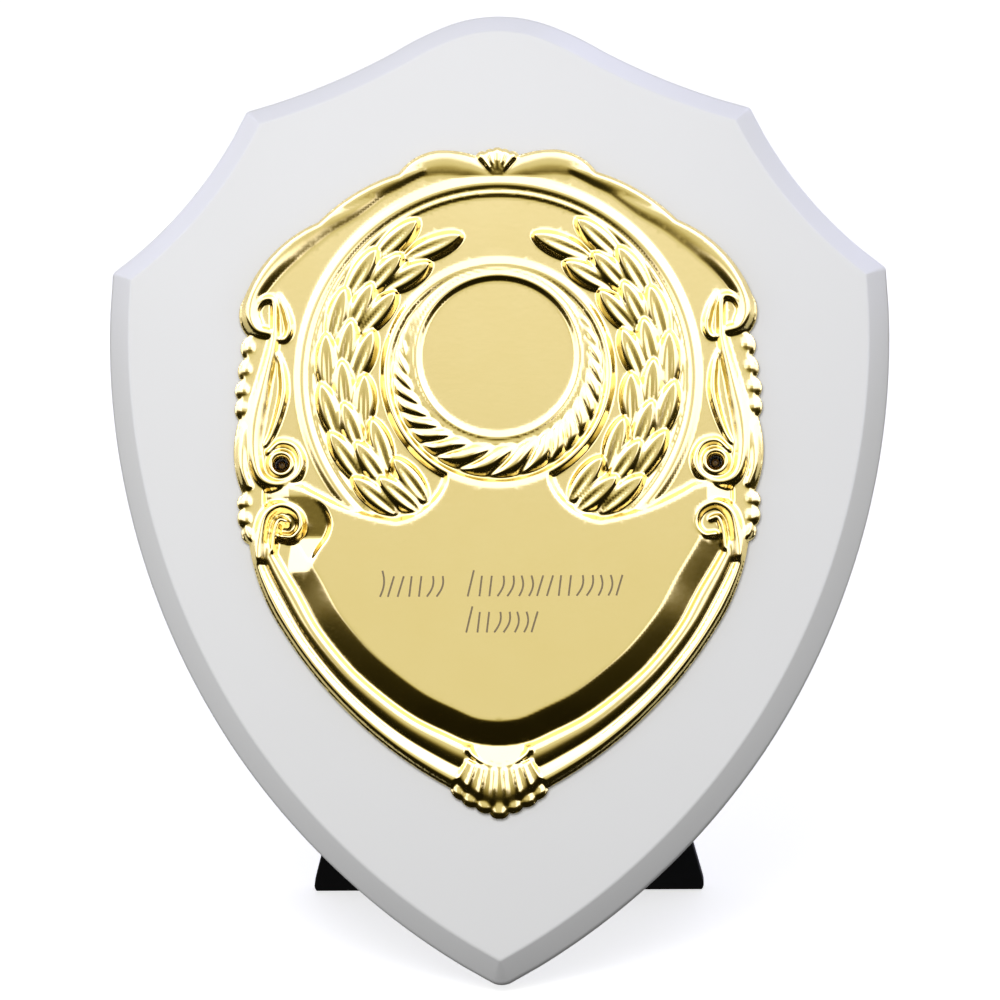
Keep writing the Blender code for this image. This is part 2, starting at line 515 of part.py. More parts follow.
def add_rod(name, finish, parent, radius, start, end, sides=24):
    """A round rod along X or Y between two points, which differ on that axis alone."""
    shape = bmesh.new()
    run = Vector(end) - Vector(start)
    turn = run.to_track_quat('Z', 'Y').to_matrix().to_4x4()
    place = Matrix.Translation((Vector(start) + Vector(end)) / 2) @ turn
    bmesh.ops.create_cone(shape, cap_ends=True, segments=sides, radius1=radius, radius2=radius,
                          depth=run.length, matrix=place)
    return add_object(name, shape, finish, parent)


def add_box(name, finish, parent, low, high):
    """A box between two corners."""
    shape = bmesh.new()
    size = Vector(high) - Vector(low)
    middle = (Vector(high) + Vector(low)) / 2
    bmesh.ops.create_cube(shape, size=1.0, matrix=Matrix.Translation(middle) @ Matrix.Diagonal((*size, 1.0)))
    return add_object(name, shape, finish, parent)


def combine(item, tool, operation):
    """Cut a tool from an item or join it on; the tool stays as a guide."""
    tool.hide_render = True
    tool.display_type = 'WIRE'
    boolean = item.modifiers.new(tool.name, 'BOOLEAN')
    boolean.operation = operation
    boolean.object = tool


def inset_loop(loop, distance):
    """A clockwise loop moved inward by a distance, mitred at its corners."""
    moved = []
    for before, here, after in zip(loop[-1:] + loop[:-1], loop, loop[1:] + loop[:1]):
        first = (Vector(here) - Vector(before)).normalized()
        second = (Vector(after) - Vector(here)).normalized()
        inward = (Vector((first.y, -first.x)) + Vector((second.y, -second.x))).normalized()
        reach = distance / max(inward.dot(Vector((first.y, -first.x))), 0.3)
        moved.append((here[0] + inward.x * reach, here[1] + inward.y * reach))
    return moved


def round_corners(loop, radii, steps):
    """A loop with corners rounded by arcs; radii maps a corner's index to its radius."""
    rounded = []
    for i, here in enumerate(loop):
        if i not in radii:
            rounded.append(here)
            continue
        here = Vector(here)
        back = (Vector(loop[i - 1]) - here).normalized()
        ahead = (Vector(loop[(i + 1) % len(loop)]) - here).normalized()
        half = back.angle(ahead) / 2
        reach = radii[i] / math.tan(half)
        centre = here + (back + ahead).normalized() * (radii[i] / math.sin(half))
        first, last = here + back * reach - centre, here + ahead * reach - centre
        turn = first.angle_signed(last)
        for k in range(steps + 1):
            spoke = first.copy()
            spoke.rotate(Matrix.Rotation(-turn * k / steps, 2))
            rounded.append(tuple(centre + spoke))
    return rounded


def board_loop(outline, inset):
    """The board's outline moved in by a distance, its corners tighter the further in it lies."""
    share = min(inset / BEVEL_WIDTH, 1.0)
    corner = CORNER_OUTER + (CORNER_INNER - CORNER_OUTER) * share
    tip = TIP_OUTER + (TIP_INNER - TIP_OUTER) * share
    radii = {}
    for i, (x, w) in enumerate(outline):
        for place, radius in ((SHOULDER, corner), (HIP, corner), (TIP, tip)):
            if math.dist((abs(x), w), place) < 1e-6:
                radii[i] = radius
    return round_corners(inset_loop(outline, inset), radii, 3)


def build_board(parent, finish):
    """The bevelled board, with blind holes for the fixing pins and the hinge screws."""
    outline = both_halves(chain(BOARD_HALF))
    section = [
        (BEVEL_WIDTH, 0.0), (BEVEL_WIDTH - 0.5, 0.3), (0.2, BEVEL_DEPTH - 0.1), (0.0, BEVEL_DEPTH + 0.3),
        (0.0, BOARD_THICKNESS - BACK_CHAMFER), (BACK_CHAMFER, BOARD_THICKNESS)]
    rings = [[(x, depth, w) for x, w in board_loop(outline, inset)] for inset, depth in section]
    count = len(rings[0])
    vertices = [p for ring in rings for p in ring]
    faces = [list(range(count)), [len(vertices) - 1 - i for i in range(count)]]
    for k in range(len(rings) - 1):
        for i in range(count):
            j = (i + 1) % count
            faces.append([k * count + i, (k + 1) * count + i, (k + 1) * count + j, k * count + j])
    board = add_object('shield_board', (vertices, faces), finish, parent, 30.0)
    for side, name in ((-1, 'left'), (1, 'right')):
        spot = (side * PIN_CENTRE[0], PIN_CENTRE[1])
        tool = add_rod(name + '_pin_hole_cutter', None, parent, PIN_HOLE_RADIUS,
                       (spot[0], -CUTTER_OVERRUN, spot[1]), (spot[0], PIN_HOLE_DEPTH, spot[1]))
        combine(board, tool, 'DIFFERENCE')
        x, z = side * SCREW_X, HINGE_HEIGHT + SCREW_ABOVE
        end = BOARD_THICKNESS - SCREW_HOLE_DEPTH
        tool = add_rod(name + '_screw_hole_cutter', None, parent, SCREW_HOLE_RADIUS,
                       (x, end, z), (x, BOARD_THICKNESS + CUTTER_OVERRUN, z))
        combine(board, tool, 'DIFFERENCE')
    return board


def build_front(parent, finish):
    """The pressed front, a solid with a flat back that stands for the thin sheet and its hollows."""
    outline = both_halves(chain(FRONT_HALF))
    holes = [circle((side * PIN_CENTRE[0], PIN_CENTRE[1]), PIN_HOLE_RADIUS, 16) for side in (-1, 1)]
    loops = [outline] + holes
    where, triangles = fill_loops(loops, refine(loops))
    back_where, back_triangles = fill_loops(loops, even_points(outline, BACK_SPACING))
    height = relief(where[:, 0], where[:, 1])
    vertices = [(x, -n, w) for (x, w), n in zip(where, height)]
    vertices += [(x, -FRONT_BACK, w) for x, w in back_where]
    faces = []
    for flat, first, facing in ((where, 0, 1), (back_where, len(where), -1)):
        for a, b, c in (triangles if first == 0 else back_triangles):
            turn = np.cross(flat[b] - flat[a], flat[c] - flat[a])
            order = (a, b, c) if turn * facing > 0 else (a, c, b)
            faces.append([int(first + k) for k in order])
    loop_start = 0
    for loop in loops:
        for i in range(len(loop)):
            a, b = loop_start + i, loop_start + (i + 1) % len(loop)
            faces.append([a, b, b + len(where), a + len(where)])
        loop_start += len(loop)
    front = add_object('gold_front', (vertices, faces), finish, parent, 60.0)
    shape = bmesh.new()
    shape.from_mesh(front.data)
    bmesh.ops.recalc_face_normals(shape, faces=shape.faces)
    shape.to_mesh(front.data)
    shape.free()
    return front


def build_fixing_pin(parent, finish, name, side):
    """A small domed pin down in the eye of a scroll, turned as one profile."""
    head = PIN_HEAD_RADIUS
    profile = [(0.0, PIN_TOP), (head * 0.6, PIN_TOP + 0.15), (head, PIN_TOP + 0.55), (head, PIN_TOP + 0.85),
               (PIN_SHANK_RADIUS, PIN_TOP + 1.05), (PIN_SHANK_RADIUS, PIN_LENGTH - PIN_TAPER),
               (0.0, PIN_LENGTH)]
    pin = turned(profile, 16)
    bmesh.ops.translate(pin, vec=(side * PIN_CENTRE[0], 0.0, PIN_CENTRE[1]), verts=pin.verts)
    return add_object(name, pin, finish, parent)


def turned(profile, sides):
    """A bmesh turned about the Y axis from a profile of (radius, y) with its ends on the axis."""
    shape = bmesh.new()
    rings = []
    for radius, y in profile:
        if radius == 0.0:
            rings.append([shape.verts.new((0.0, y, 0.0))])
            continue
        turns = [2 * math.pi * i / sides for i in range(sides)]
        rings.append([shape.verts.new((radius * math.cos(a), y, radius * math.sin(a))) for a in turns])
    for near, far in zip(rings, rings[1:]):
        for i in range(sides):
            j = (i + 1) % sides
            corners = [near[i % len(near)], near[j % len(near)], far[j % len(far)], far[i % len(far)]]
            shape.faces.new(list(dict.fromkeys(corners)))
    return shape


def build_screw(parent, finish, name, side):
    """A pan-head screw through the hinge plate, with a crossed recess."""
    seat = BOARD_THICKNESS + GAP + PLATE_THICKNESS + GAP
    head, top = SCREW_HEAD_RADIUS, seat + SCREW_HEAD_HEIGHT
    end = top - SCREW_LENGTH
    profile = [(0.0, top), (head * 0.55, top - 0.15), (head * 0.9, top - 0.6), (head, seat),
               (SCREW_SHANK_RADIUS, seat), (SCREW_SHANK_RADIUS, end), (0.0, end - SCREW_POINT)]
    shape = turned(profile, 20)
    z = HINGE_HEIGHT + SCREW_ABOVE
    bmesh.ops.translate(shape, vec=(side * SCREW_X, 0.0, z), verts=shape.verts)
    screw = add_object(name, shape, finish, parent)
    arms = (('across', RECESS_HALF_LENGTH, RECESS_HALF_WIDTH),
            ('upright', RECESS_HALF_WIDTH, RECESS_HALF_LENGTH))
    for arm, half_x, half_z in arms:
        low = (side * SCREW_X - half_x, top - RECESS_DEPTH, z - half_z)
        high = (side * SCREW_X + half_x, top + CUTTER_OVERRUN, z + half_z)
        combine(screw, add_box(f'{name}_{arm}_cutter', None, parent, low, high), 'DIFFERENCE')
    return screw


def plate_shape(loop, low, high):
    """A bmesh of a flat plate: a loop over x and z, between two depths in y."""
    shape = bmesh.new()
    near = [shape.verts.new((x, low, z)) for x, z in loop]
    face = shape.faces.new(near)
    out = bmesh.ops.extrude_face_region(shape, geom=[face])
    moved = [v for v in out['geom'] if isinstance(v, bmesh.types.BMVert)]
    bmesh.ops.translate(shape, vec=(0.0, high - low, 0.0), verts=moved)
    return shape


def rounded_loop(corners, radius, steps=4):
    """A closed loop whose corners are all rounded by arcs of one radius."""
    return round_corners(corners, {i: radius for i in range(len(corners))}, steps)


def build_hinge_plate(parent, finish):
    """The plate on the board's back, with two ears that carry the hinge pin."""
    surface = BOARD_THICKNESS + GAP
    face = surface + PLATE_THICKNESS
    axis = face + AXIS_ABOVE_PLATE
    half = PLATE_WIDTH / 2
    low, high = HINGE_HEIGHT - PLATE_BELOW, HINGE_HEIGHT + PLATE_ABOVE
    outline = rounded_loop([(-half, low), (half, low), (half, high), (-half, high)], PLATE_CORNER)
    plate = add_object('hinge_plate', plate_shape(outline, surface, face), finish, parent)
    for side, name in ((-1, 'left'), (1, 'right')):
        inner, outer = side * EAR_INNER, side * EAR_OUTER
        crown = circle((axis, HINGE_HEIGHT), KNUCKLE_RADIUS, 20)
        crown = [(y, z) for y, z in crown if y >= axis - 1e-6]
        crown.sort(key=lambda p: p[1])
        root = face - EAR_ROOT
        section = [(root, HINGE_HEIGHT - KNUCKLE_RADIUS)] + crown + [(root, HINGE_HEIGHT + KNUCKLE_RADIUS)]
        ear = bmesh.new()
        first = [ear.verts.new((inner, y, z)) for y, z in section]
        wall = ear.faces.new(first)
        out = bmesh.ops.extrude_face_region(ear, geom=[wall])
        moved = [v for v in out['geom'] if isinstance(v, bmesh.types.BMVert)]
        bmesh.ops.translate(ear, vec=(outer - inner, 0.0, 0.0), verts=moved)
        combine(plate, add_object(name + '_ear_guide', ear, None, parent), 'UNION')
    bore_start, bore_end = (-half, axis, HINGE_HEIGHT), (half, axis, HINGE_HEIGHT)
    bore = add_rod('ear_bore_cutter', None, parent, BORE_RADIUS, bore_start, bore_end)
    combine(plate, bore, 'DIFFERENCE')
    for side, name in ((-1, 'left'), (1, 'right')):
        x, z = side * SCREW_X, HINGE_HEIGHT + SCREW_ABOVE
        tool = add_rod(name + '_plate_hole_cutter', None, parent, SCREW_HOLE_RADIUS,
                       (x, surface - CUTTER_OVERRUN, z), (x, face + CUTTER_OVERRUN, z))
        combine(plate, tool, 'DIFFERENCE')
    return plate


def build_strut(frame, finish):
    """The easel strut, swung open about its pin and cut flat where its foot meets the floor."""
    axis = BOARD_THICKNESS + GAP + PLATE_THICKNESS + AXIS_ABOVE_PLATE
    pivot = bpy.data.objects.new('strut_pivot', None)
    bpy.context.scene.collection.objects.link(pivot)
    pivot.parent = frame
    pivot.location = (0.0, axis * MM, HINGE_HEIGHT * MM)
    pivot.rotation_euler = (STRUT_OPEN, 0.0, 0.0)
    bpy.context.view_layer.update()
    slope = STRUT_OPEN - LEAN_BACK
    height = pivot.matrix_world.translation.z / MM
    length = (height + STRUT_FLAT - STRUT_THICKNESS / 2 * math.sin(slope)) / math.cos(slope)
    foot = STRUT_FOOT_WIDTH / 2
    shoulder = foot - (length - STRUT_NECK) * math.tan(STRUT_SIDE_ANGLE)
    neck = KNUCKLE_HALF_WIDTH
    half = STRUT_THICKNESS / 2
    corners = [(-foot, -length), (foot, -length), (shoulder, -STRUT_NECK), (-shoulder, -STRUT_NECK)]
    blade = plate_shape(rounded_loop(corners, STRUT_CORNER), -half, half)
    strut = add_object('easel_strut', blade, finish, pivot)

    low, high = (-neck, -half, -STRUT_NECK - CUTTER_OVERRUN), (neck, half, 0.0)
    combine(strut, add_box('strut_neck_guide', None, pivot, low, high), 'UNION')
    knuckle = add_rod('strut_knuckle_guide', None, pivot, KNUCKLE_RADIUS, (-neck, 0, 0), (neck, 0, 0))
    combine(strut, knuckle, 'UNION')
    low, high = (-neck, GAP - AXIS_ABOVE_PLATE, 0.0), (neck, 0.0, HEEL_HEIGHT)
    heel = add_box('strut_heel_guide', None, pivot, low, high)
    heel.rotation_euler = (-STRUT_OPEN, 0.0, 0.0)
    combine(strut, heel, 'UNION')

    panel_foot, panel_shoulder = foot - 2 * PANEL_MARGIN, shoulder - PANEL_MARGIN
    panel_low, panel_high = PANEL_MARGIN - length, -STRUT_NECK - 2 * PANEL_MARGIN
    corners = [(-panel_foot, panel_low), (panel_foot, panel_low),
               (panel_shoulder, panel_high), (-panel_shoulder, panel_high)]
    panel = plate_shape(rounded_loop(corners, STRUT_CORNER), half - PANEL_DEPTH, half + CUTTER_OVERRUN)
    combine(strut, add_object('strut_panel_cutter', panel, None, pivot), 'DIFFERENCE')
    bore_end = neck + CUTTER_OVERRUN
    bore = add_rod('strut_bore_cutter', None, pivot, BORE_RADIUS, (-bore_end, 0, 0), (bore_end, 0, 0))
    combine(strut, bore, 'DIFFERENCE')
    cut_at_floor(strut)
    return strut


def cut_at_floor(item):
    """Cut an object's own mesh flat where it would pass below the floor."""
    bpy.context.view_layer.update()
    inverse = item.matrix_world.inverted()
    shape = bmesh.new()
    shape.from_mesh(item.data)
    geometry = shape.verts[:] + shape.edges[:] + shape.faces[:]
    up = inverse.to_3x3() @ Vector((0.0, 0.0, 1.0))
    cut = bmesh.ops.bisect_plane(shape, geom=geometry, plane_co=inverse @ Vector(), plane_no=up,
                                 clear_inner=True, dist=1e-8)
    rim = [e for e in cut['geom_cut'] if isinstance(e, bmesh.types.BMEdge)]
    bmesh.ops.contextual_create(shape, geom=rim)
    bmesh.ops.recalc_face_normals(shape, faces=shape.faces)
    shape.to_mesh(item.data)
    shape.free()


def stand_on_tip(frame, board):
    """Lower the plaque until the board's lowest corner is just below the floor, to be cut flat there."""
    bpy.context.view_layer.update()
    lowest = min((board.matrix_world @ vertex.co).z for vertex in board.data.vertices)
    frame.location.z -= lowest + TIP_FLAT * MM
    bpy.context.view_layer.update()


def centre_over_origin(frame, pieces):
    """Slide the whole plaque along Y so that its box is centred over the origin."""
    bpy.context.view_layer.update()
    depths = [(piece.matrix_world @ vertex.co).y for piece in pieces for vertex in piece.data.vertices]
    frame.location.y -= (min(depths) + max(depths)) / 2


def main():
    """Build the whole plaque."""
    for item in list(bpy.data.objects):
        bpy.data.objects.remove(item, do_unlink=True)
    white = material('white_paint', (0.86, 0.86, 0.855), 0.3)
    gold = material('pale_gold_aluminium', (0.86, 0.72, 0.36), 0.14, 1.0)
    brass = material('brass', (0.72, 0.55, 0.24), 0.25, 1.0)
    black = material('black_plastic', (0.012, 0.012, 0.013), 0.45)
    steel = material('zinc_plated_steel', (0.62, 0.63, 0.64), 0.3, 1.0)

    frame = bpy.data.objects.new('plaque_frame', None)
    bpy.context.scene.collection.objects.link(frame)
    frame.rotation_euler = (-LEAN_BACK, 0.0, 0.0)
    board = build_board(frame, white)
    stand_on_tip(frame, board)
    front = build_front(frame, gold)
    strut = build_strut(frame, black)
    build_hinge_plate(frame, black)
    for side, name in ((-1, 'left'), (1, 'right')):
        build_fixing_pin(frame, brass, name + '_fixing_pin', side)
        build_screw(frame, steel, name + '_hinge_screw', side)
    axis = BOARD_THICKNESS + GAP + PLATE_THICKNESS + AXIS_ABOVE_PLATE
    reach = EAR_OUTER + PIN_OVERHANG
    add_rod('hinge_pin', steel, frame, PIN_RADIUS, (-reach, axis, HINGE_HEIGHT), (reach, axis, HINGE_HEIGHT))
    cut_at_floor(board)
    centre_over_origin(frame, (board, front, strut))


main()
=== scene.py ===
"""Looks of the award shield plaque: painted board, pressed gold front, easel strut, studio and camera.

Over the face, x runs to the right, w runs up from the board's tip and n stands out towards the viewer.
Sizes are in millimetres over the face and are scaled to metres when a mesh is made.
"""
from __future__ import annotations

import json
import logging
import math
from dataclasses import dataclass
from enum import Enum
from typing import Iterable, Sequence

import bmesh
import bpy
import numpy as np
from mathutils import Matrix, Vector
from mathutils.geometry import delaunay_2d_cdt

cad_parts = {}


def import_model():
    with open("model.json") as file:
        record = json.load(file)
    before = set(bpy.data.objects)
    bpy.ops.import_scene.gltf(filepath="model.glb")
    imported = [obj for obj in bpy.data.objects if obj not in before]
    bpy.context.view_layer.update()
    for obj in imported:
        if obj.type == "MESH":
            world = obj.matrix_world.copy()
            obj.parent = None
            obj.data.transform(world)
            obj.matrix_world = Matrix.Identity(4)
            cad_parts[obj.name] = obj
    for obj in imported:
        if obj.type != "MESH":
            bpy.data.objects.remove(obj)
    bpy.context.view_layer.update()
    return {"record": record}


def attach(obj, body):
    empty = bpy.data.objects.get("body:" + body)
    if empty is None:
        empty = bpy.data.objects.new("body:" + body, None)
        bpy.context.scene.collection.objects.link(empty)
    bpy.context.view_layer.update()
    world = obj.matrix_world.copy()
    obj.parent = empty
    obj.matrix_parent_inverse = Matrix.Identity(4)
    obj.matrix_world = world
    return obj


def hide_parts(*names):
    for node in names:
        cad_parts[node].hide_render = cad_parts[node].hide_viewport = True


LOG = logging.getLogger("plaque")

Point = tuple[float, float]
Station = tuple[float, float, float, int]
Strand = tuple[list[Point], list[float], list[float]]
Bead = tuple[float, float, float]
Colour = tuple[float, float, float]

MM = 0.001
GAP = 0.3
LEAN_BACK = math.radians(20.0)
PIN_CENTRE = (34.8, 83.1)
PIN_HOLE_RADIUS = 1.05
GROUND = 1.6
FIELD = 2.75
BORDER_GROUND = 0.9
FRONT_BACK = GAP
FRONT_EDGE = 0.75
TINY = 1e-6
BEAD_FULLNESS = 1.4
SMOOTH_ANGLE = math.radians(35.0)


class Side(Enum):
    """Which side of the middle a piece stands on, as the viewer sees it."""

    LEFT = -1
    RIGHT = 1


# Lines over the face


def arc(start: Point, end: Point, bulge: float, steps: int) -> list[Point]:
    """Points from start to just before end along an arc.

    Args:
        start, end: The arc's ends.
        bulge: How far it stands to the left of travel.
        steps: Number of points.

    Returns:
        The points.
    """
    (x0, w0), (x1, w1) = start, end
    if abs(bulge) < TINY:
        return [(x0 + (x1 - x0) * i / steps, w0 + (w1 - w0) * i / steps) for i in range(steps)]
    chord = math.hypot(x1 - x0, w1 - w0)
    radius = (chord * chord / 4 + bulge * bulge) / (2 * bulge)
    left = (-(w1 - w0) / chord, (x1 - x0) / chord)
    reach = bulge - radius
    centre = ((x0 + x1) / 2 + left[0] * reach, (w0 + w1) / 2 + left[1] * reach)
    first = math.atan2(w0 - centre[1], x0 - centre[0])
    last = math.atan2(w1 - centre[1], x1 - centre[0])
    turn = (last - first + math.pi) % (2 * math.pi) - math.pi
    angles = [first + turn * i / steps for i in range(steps)]
    return [(centre[0] + abs(radius) * math.cos(a), centre[1] + abs(radius) * math.sin(a)) for a in angles]


def chain(stations: Sequence[Station], fineness: int = 1) -> list[Point]:
    """A line of arcs through stations.

    Args:
        stations: Each station's x, w, and the bulge and steps of the arc that leaves it.
        fineness: What the steps are multiplied by.

    Returns:
        The line's points.
    """
    line: list[Point] = []
    for (x0, w0, bulge, steps), (x1, w1, _, _) in zip(stations, stations[1:]):
        line += arc((x0, w0), (x1, w1), bulge, steps * fineness)
    return line + [stations[-1][:2]]


def both_halves(right: list[Point]) -> list[Point]:
    """A closed loop from its right half, which runs from the top centre down to the bottom centre."""
    return right + [(-x, w) for x, w in reversed(right[1:-1])]


def smooth_line(points: Sequence[Point], steps: int = 8) -> list[Point]:
    """A Catmull-Rom curve through points.

    Args:
        points: What the curve passes through.
        steps: Steps between two of them.

    Returns:
        The curve's points.
    """
    knots = [np.array(p, float) for p in points]
    knots = [2 * knots[0] - knots[1]] + knots + [2 * knots[-1] - knots[-2]]
    line = []
    for a, b, c, d in zip(knots, knots[1:], knots[2:], knots[3:]):
        for t in np.arange(steps) / steps:
            line.append(0.5 * (2 * b + (c - a) * t + (2 * a - 5 * b + 4 * c - d) * t ** 2
                               + (3 * b - a - 3 * c + d) * t ** 3))
    return [tuple(p) for p in line + [knots[-2]]]


def circle(centre: Point, radius: float, sides: int) -> list[Point]:
    """A closed loop of points round a centre."""
    turns = [2 * math.pi * i / sides for i in range(sides)]
    return [(centre[0] + radius * math.cos(a), centre[1] + radius * math.sin(a)) for a in turns]


def inset_loop(loop: list[Point], distance: float) -> list[Point]:
    """A clockwise loop moved inward, mitred at its corners.

    Args:
        loop: The closed loop.
        distance: How far it moves.

    Returns:
        The inner loop.
    """
    sharpest = 0.3
    moved = []
    for before, here, after in zip(loop[-1:] + loop[:-1], loop, loop[1:] + loop[:1]):
        first = (Vector(here) - Vector(before)).normalized()
        second = (Vector(after) - Vector(here)).normalized()
        inward = (Vector((first.y, -first.x)) + Vector((second.y, -second.x))).normalized()
        reach = distance / max(inward.dot(Vector((first.y, -first.x))), sharpest)
        moved.append((here[0] + inward.x * reach, here[1] + inward.y * reach))
    return moved


def round_corners(loop: list[Point], radii: dict[int, float], steps: int, spare: int = 0) -> list[Point]:
    """A loop with corners rounded by arcs.

    Args:
        loop: The closed loop.
        radii: A corner's index to its radius.
        steps: Steps of each arc.
        spare: Neighbours on each side of a corner that its arc takes the place of.

    Returns:
        The rounded loop.
    """
    rounded: list[Point] = []
    taken = {(i + k) % len(loop) for i in radii for k in range(-spare, spare + 1)}
    for i, here in enumerate(loop):
        if i not in radii:
            if i not in taken:
                rounded.append(here)
            continue
        here = Vector(here)
        back = (Vector(loop[i - 1 - spare]) - here).normalized()
        ahead = (Vector(loop[(i + 1 + spare) % len(loop)]) - here).normalized()
        half = back.angle(ahead) / 2
        reach = radii[i] / math.tan(half)
        centre = here + (back + ahead).normalized() * (radii[i] / math.sin(half))
        first, last = here + back * reach - centre, here + ahead * reach - centre
        turn = first.angle_signed(last)
        for k in range(steps + 1):
            spoke = first.copy()
            spoke.rotate(Matrix.Rotation(-turn * k / steps, 2))
            rounded.append(tuple(centre + spoke))
    return rounded


def rounded_loop(corners: list[Point], radius: float, steps: int = 8) -> list[Point]:
    """A closed loop whose corners are all rounded by arcs of one radius."""
    return round_corners(corners, {i: radius for i in range(len(corners))}, steps)


def nearest(x: np.ndarray, w: np.ndarray, line: Iterable[Point], reach: float = math.inf) -> tuple:
    """Nearest place on a line to each point.

    Args:
        x, w: The points.
        line: The line's points.
        reach: How far from the line an answer is needed; farther points may keep infinity.

    Returns:
        Distance, place along the line from 0 to 1, and side, positive to the left of travel.
    """
    line = np.asarray(list(line), float)
    runs = np.diff(line, axis=0)
    lengths = np.hypot(runs[:, 0], runs[:, 1])
    starts = np.concatenate([[0.0], np.cumsum(lengths)])
    best, along, side = np.full(x.shape, np.inf), np.zeros(x.shape), np.zeros(x.shape)
    chunk = 6
    for k in range(0, len(runs), chunk):
        part = line[k:k + chunk + 1]
        low, high = part.min(axis=0) - reach, part.max(axis=0) + reach
        where = np.nonzero((x > low[0]) & (x < high[0]) & (w > low[1]) & (w < high[1]))
        if not where[0].size:
            continue
        near_x, near_w = x[where], w[where]
        near_best, near_along, near_side = best[where], along[where], side[where]
        for i in range(k, min(k + chunk, len(runs))):
            (px, pw), (dx, dw), length = line[i], runs[i], lengths[i]
            t = np.clip(((near_x - px) * dx + (near_w - pw) * dw) / length ** 2, 0, 1)
            ex, ew = near_x - px - t * dx, near_w - pw - t * dw
            distance = np.hypot(ex, ew)
            closer = distance < near_best
            near_best = np.where(closer, distance, near_best)
            near_along = np.where(closer, (starts[i] + t * length) / starts[-1], near_along)
            near_side = np.where(closer, np.sign(dx * ew - dw * ex), near_side)
        best[where], along[where], side[where] = near_best, near_along, near_side
    return best, along, side


def from_centre(x: np.ndarray, w: np.ndarray, centre: Point) -> tuple[np.ndarray, np.ndarray]:
    """Distance from a centre, and the angle from straight down."""
    return np.hypot(x - centre[0], w - centre[1]), np.arctan2(x - centre[0], centre[1] - w)


def ease(start: float, end: float, value: np.ndarray) -> np.ndarray:
    """A smooth step from 0 at start to 1 at end."""
    t = np.clip((value - start) / (end - start), 0, 1)
    return t * t * (3 - 2 * t)


def hill(distance: np.ndarray, half_width: float | np.ndarray, power: float = 1.1) -> np.ndarray:
    """A rounded cross-section: 1 on its line and 0 at half its width away."""
    return np.clip(1 - (distance / half_width) ** 2, 0, 1) ** power


def bead_round(radius: np.ndarray, bead: Bead) -> np.ndarray:
    """Height of a ring-shaped bead (crest radius, half width, rise) at a radius."""
    crest, half_width, rise = bead
    return rise * hill(radius - crest, half_width, BEAD_FULLNESS)


def lay(height: np.ndarray, base: float, rise: np.ndarray) -> np.ndarray:
    """The height with a shape laid over it from a base, only where the shape rises."""
    return np.where(rise > 0, np.maximum(height, base + rise), height)


# Outlines of the board and the gold front

SHOULDER, HIP, TIP = (41.0, 141.9), (62.7, 115.4), (0.0, -0.4)
BOARD_HALF: list[Station] = [
    (0.0, 157.4, 0.52, 5), (9.75, 155.3, 0.15, 2), (16.6, 151.8, -0.78, 7), (*SHOULDER, -2.15, 9),
    (*HIP, 6.85, 15), (42.7, 37.7, 3.55, 10), (*TIP, 0.0, 1)]

FRONT_HALF: list[Station] = [
    (0.0, 134.62, 0.12, 2), (0.75, 134.3, 0.28, 2), (1.95, 133.9, 0.35, 2), (3.5, 133.3, 0.3, 3),
    (9.6, 134.2, 0.8, 5), (16.0, 130.5, 0.95, 6), (28.95, 122.6, 1.75, 7), (40.9, 110.3, 1.1, 6),
    (40.3, 104.0, 0.85, 4), (40.85, 100.3, 0.75, 4), (41.4, 96.8, 0.75, 4), (41.8, 93.7, 0.65, 4),
    (41.7, 90.4, 1.1, 6), (41.1, 78.4, 0.65, 4), (41.5, 75.8, 0.6, 4), (41.1, 72.8, 0.6, 4),
    (40.0, 70.3, 0.85, 5), (34.5, 56.1, 2.35, 10), (7.8, 31.0, 0.45, 3), (6.05, 29.05, 0.45, 3),
    (3.8, 27.95, 0.45, 3), (1.55, 27.05, 0.35, 2), (0.0, 26.1, 0.0, 1)]


@dataclass
class FaceFrame:
    """The plaque's own frame over its face, placed in the world."""

    origin: Vector
    out: Vector

    @classmethod
    def from_record(cls, record: dict) -> FaceFrame:
        """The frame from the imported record's centre disc mount.

        Args:
            record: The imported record.

        Returns:
            The face's frame.
        """
        disc = next(m for m in record["mounts"] if m["name"] == "centre_disc")
        out = Vector(disc["axis"]).normalized()
        up = out.cross(Vector((1.0, 0.0, 0.0)))
        centre = Relief.DISC_CENTRE
        return cls(Vector(disc["pos_m"]) - out * GROUND * MM - up * centre[1] * MM, out)

    @property
    def matrix(self) -> Matrix:
        """The turn and move from the face to the world.

        Returns:
            Takes x, depth behind the face and height up the face to the world.
        """
        up = self.out.cross(Vector((1.0, 0.0, 0.0)))
        turn = Matrix(((1.0, 0.0, 0.0), tuple(-self.out), tuple(up))).transposed()
        return Matrix.Translation(self.origin) @ turn.to_4x4()


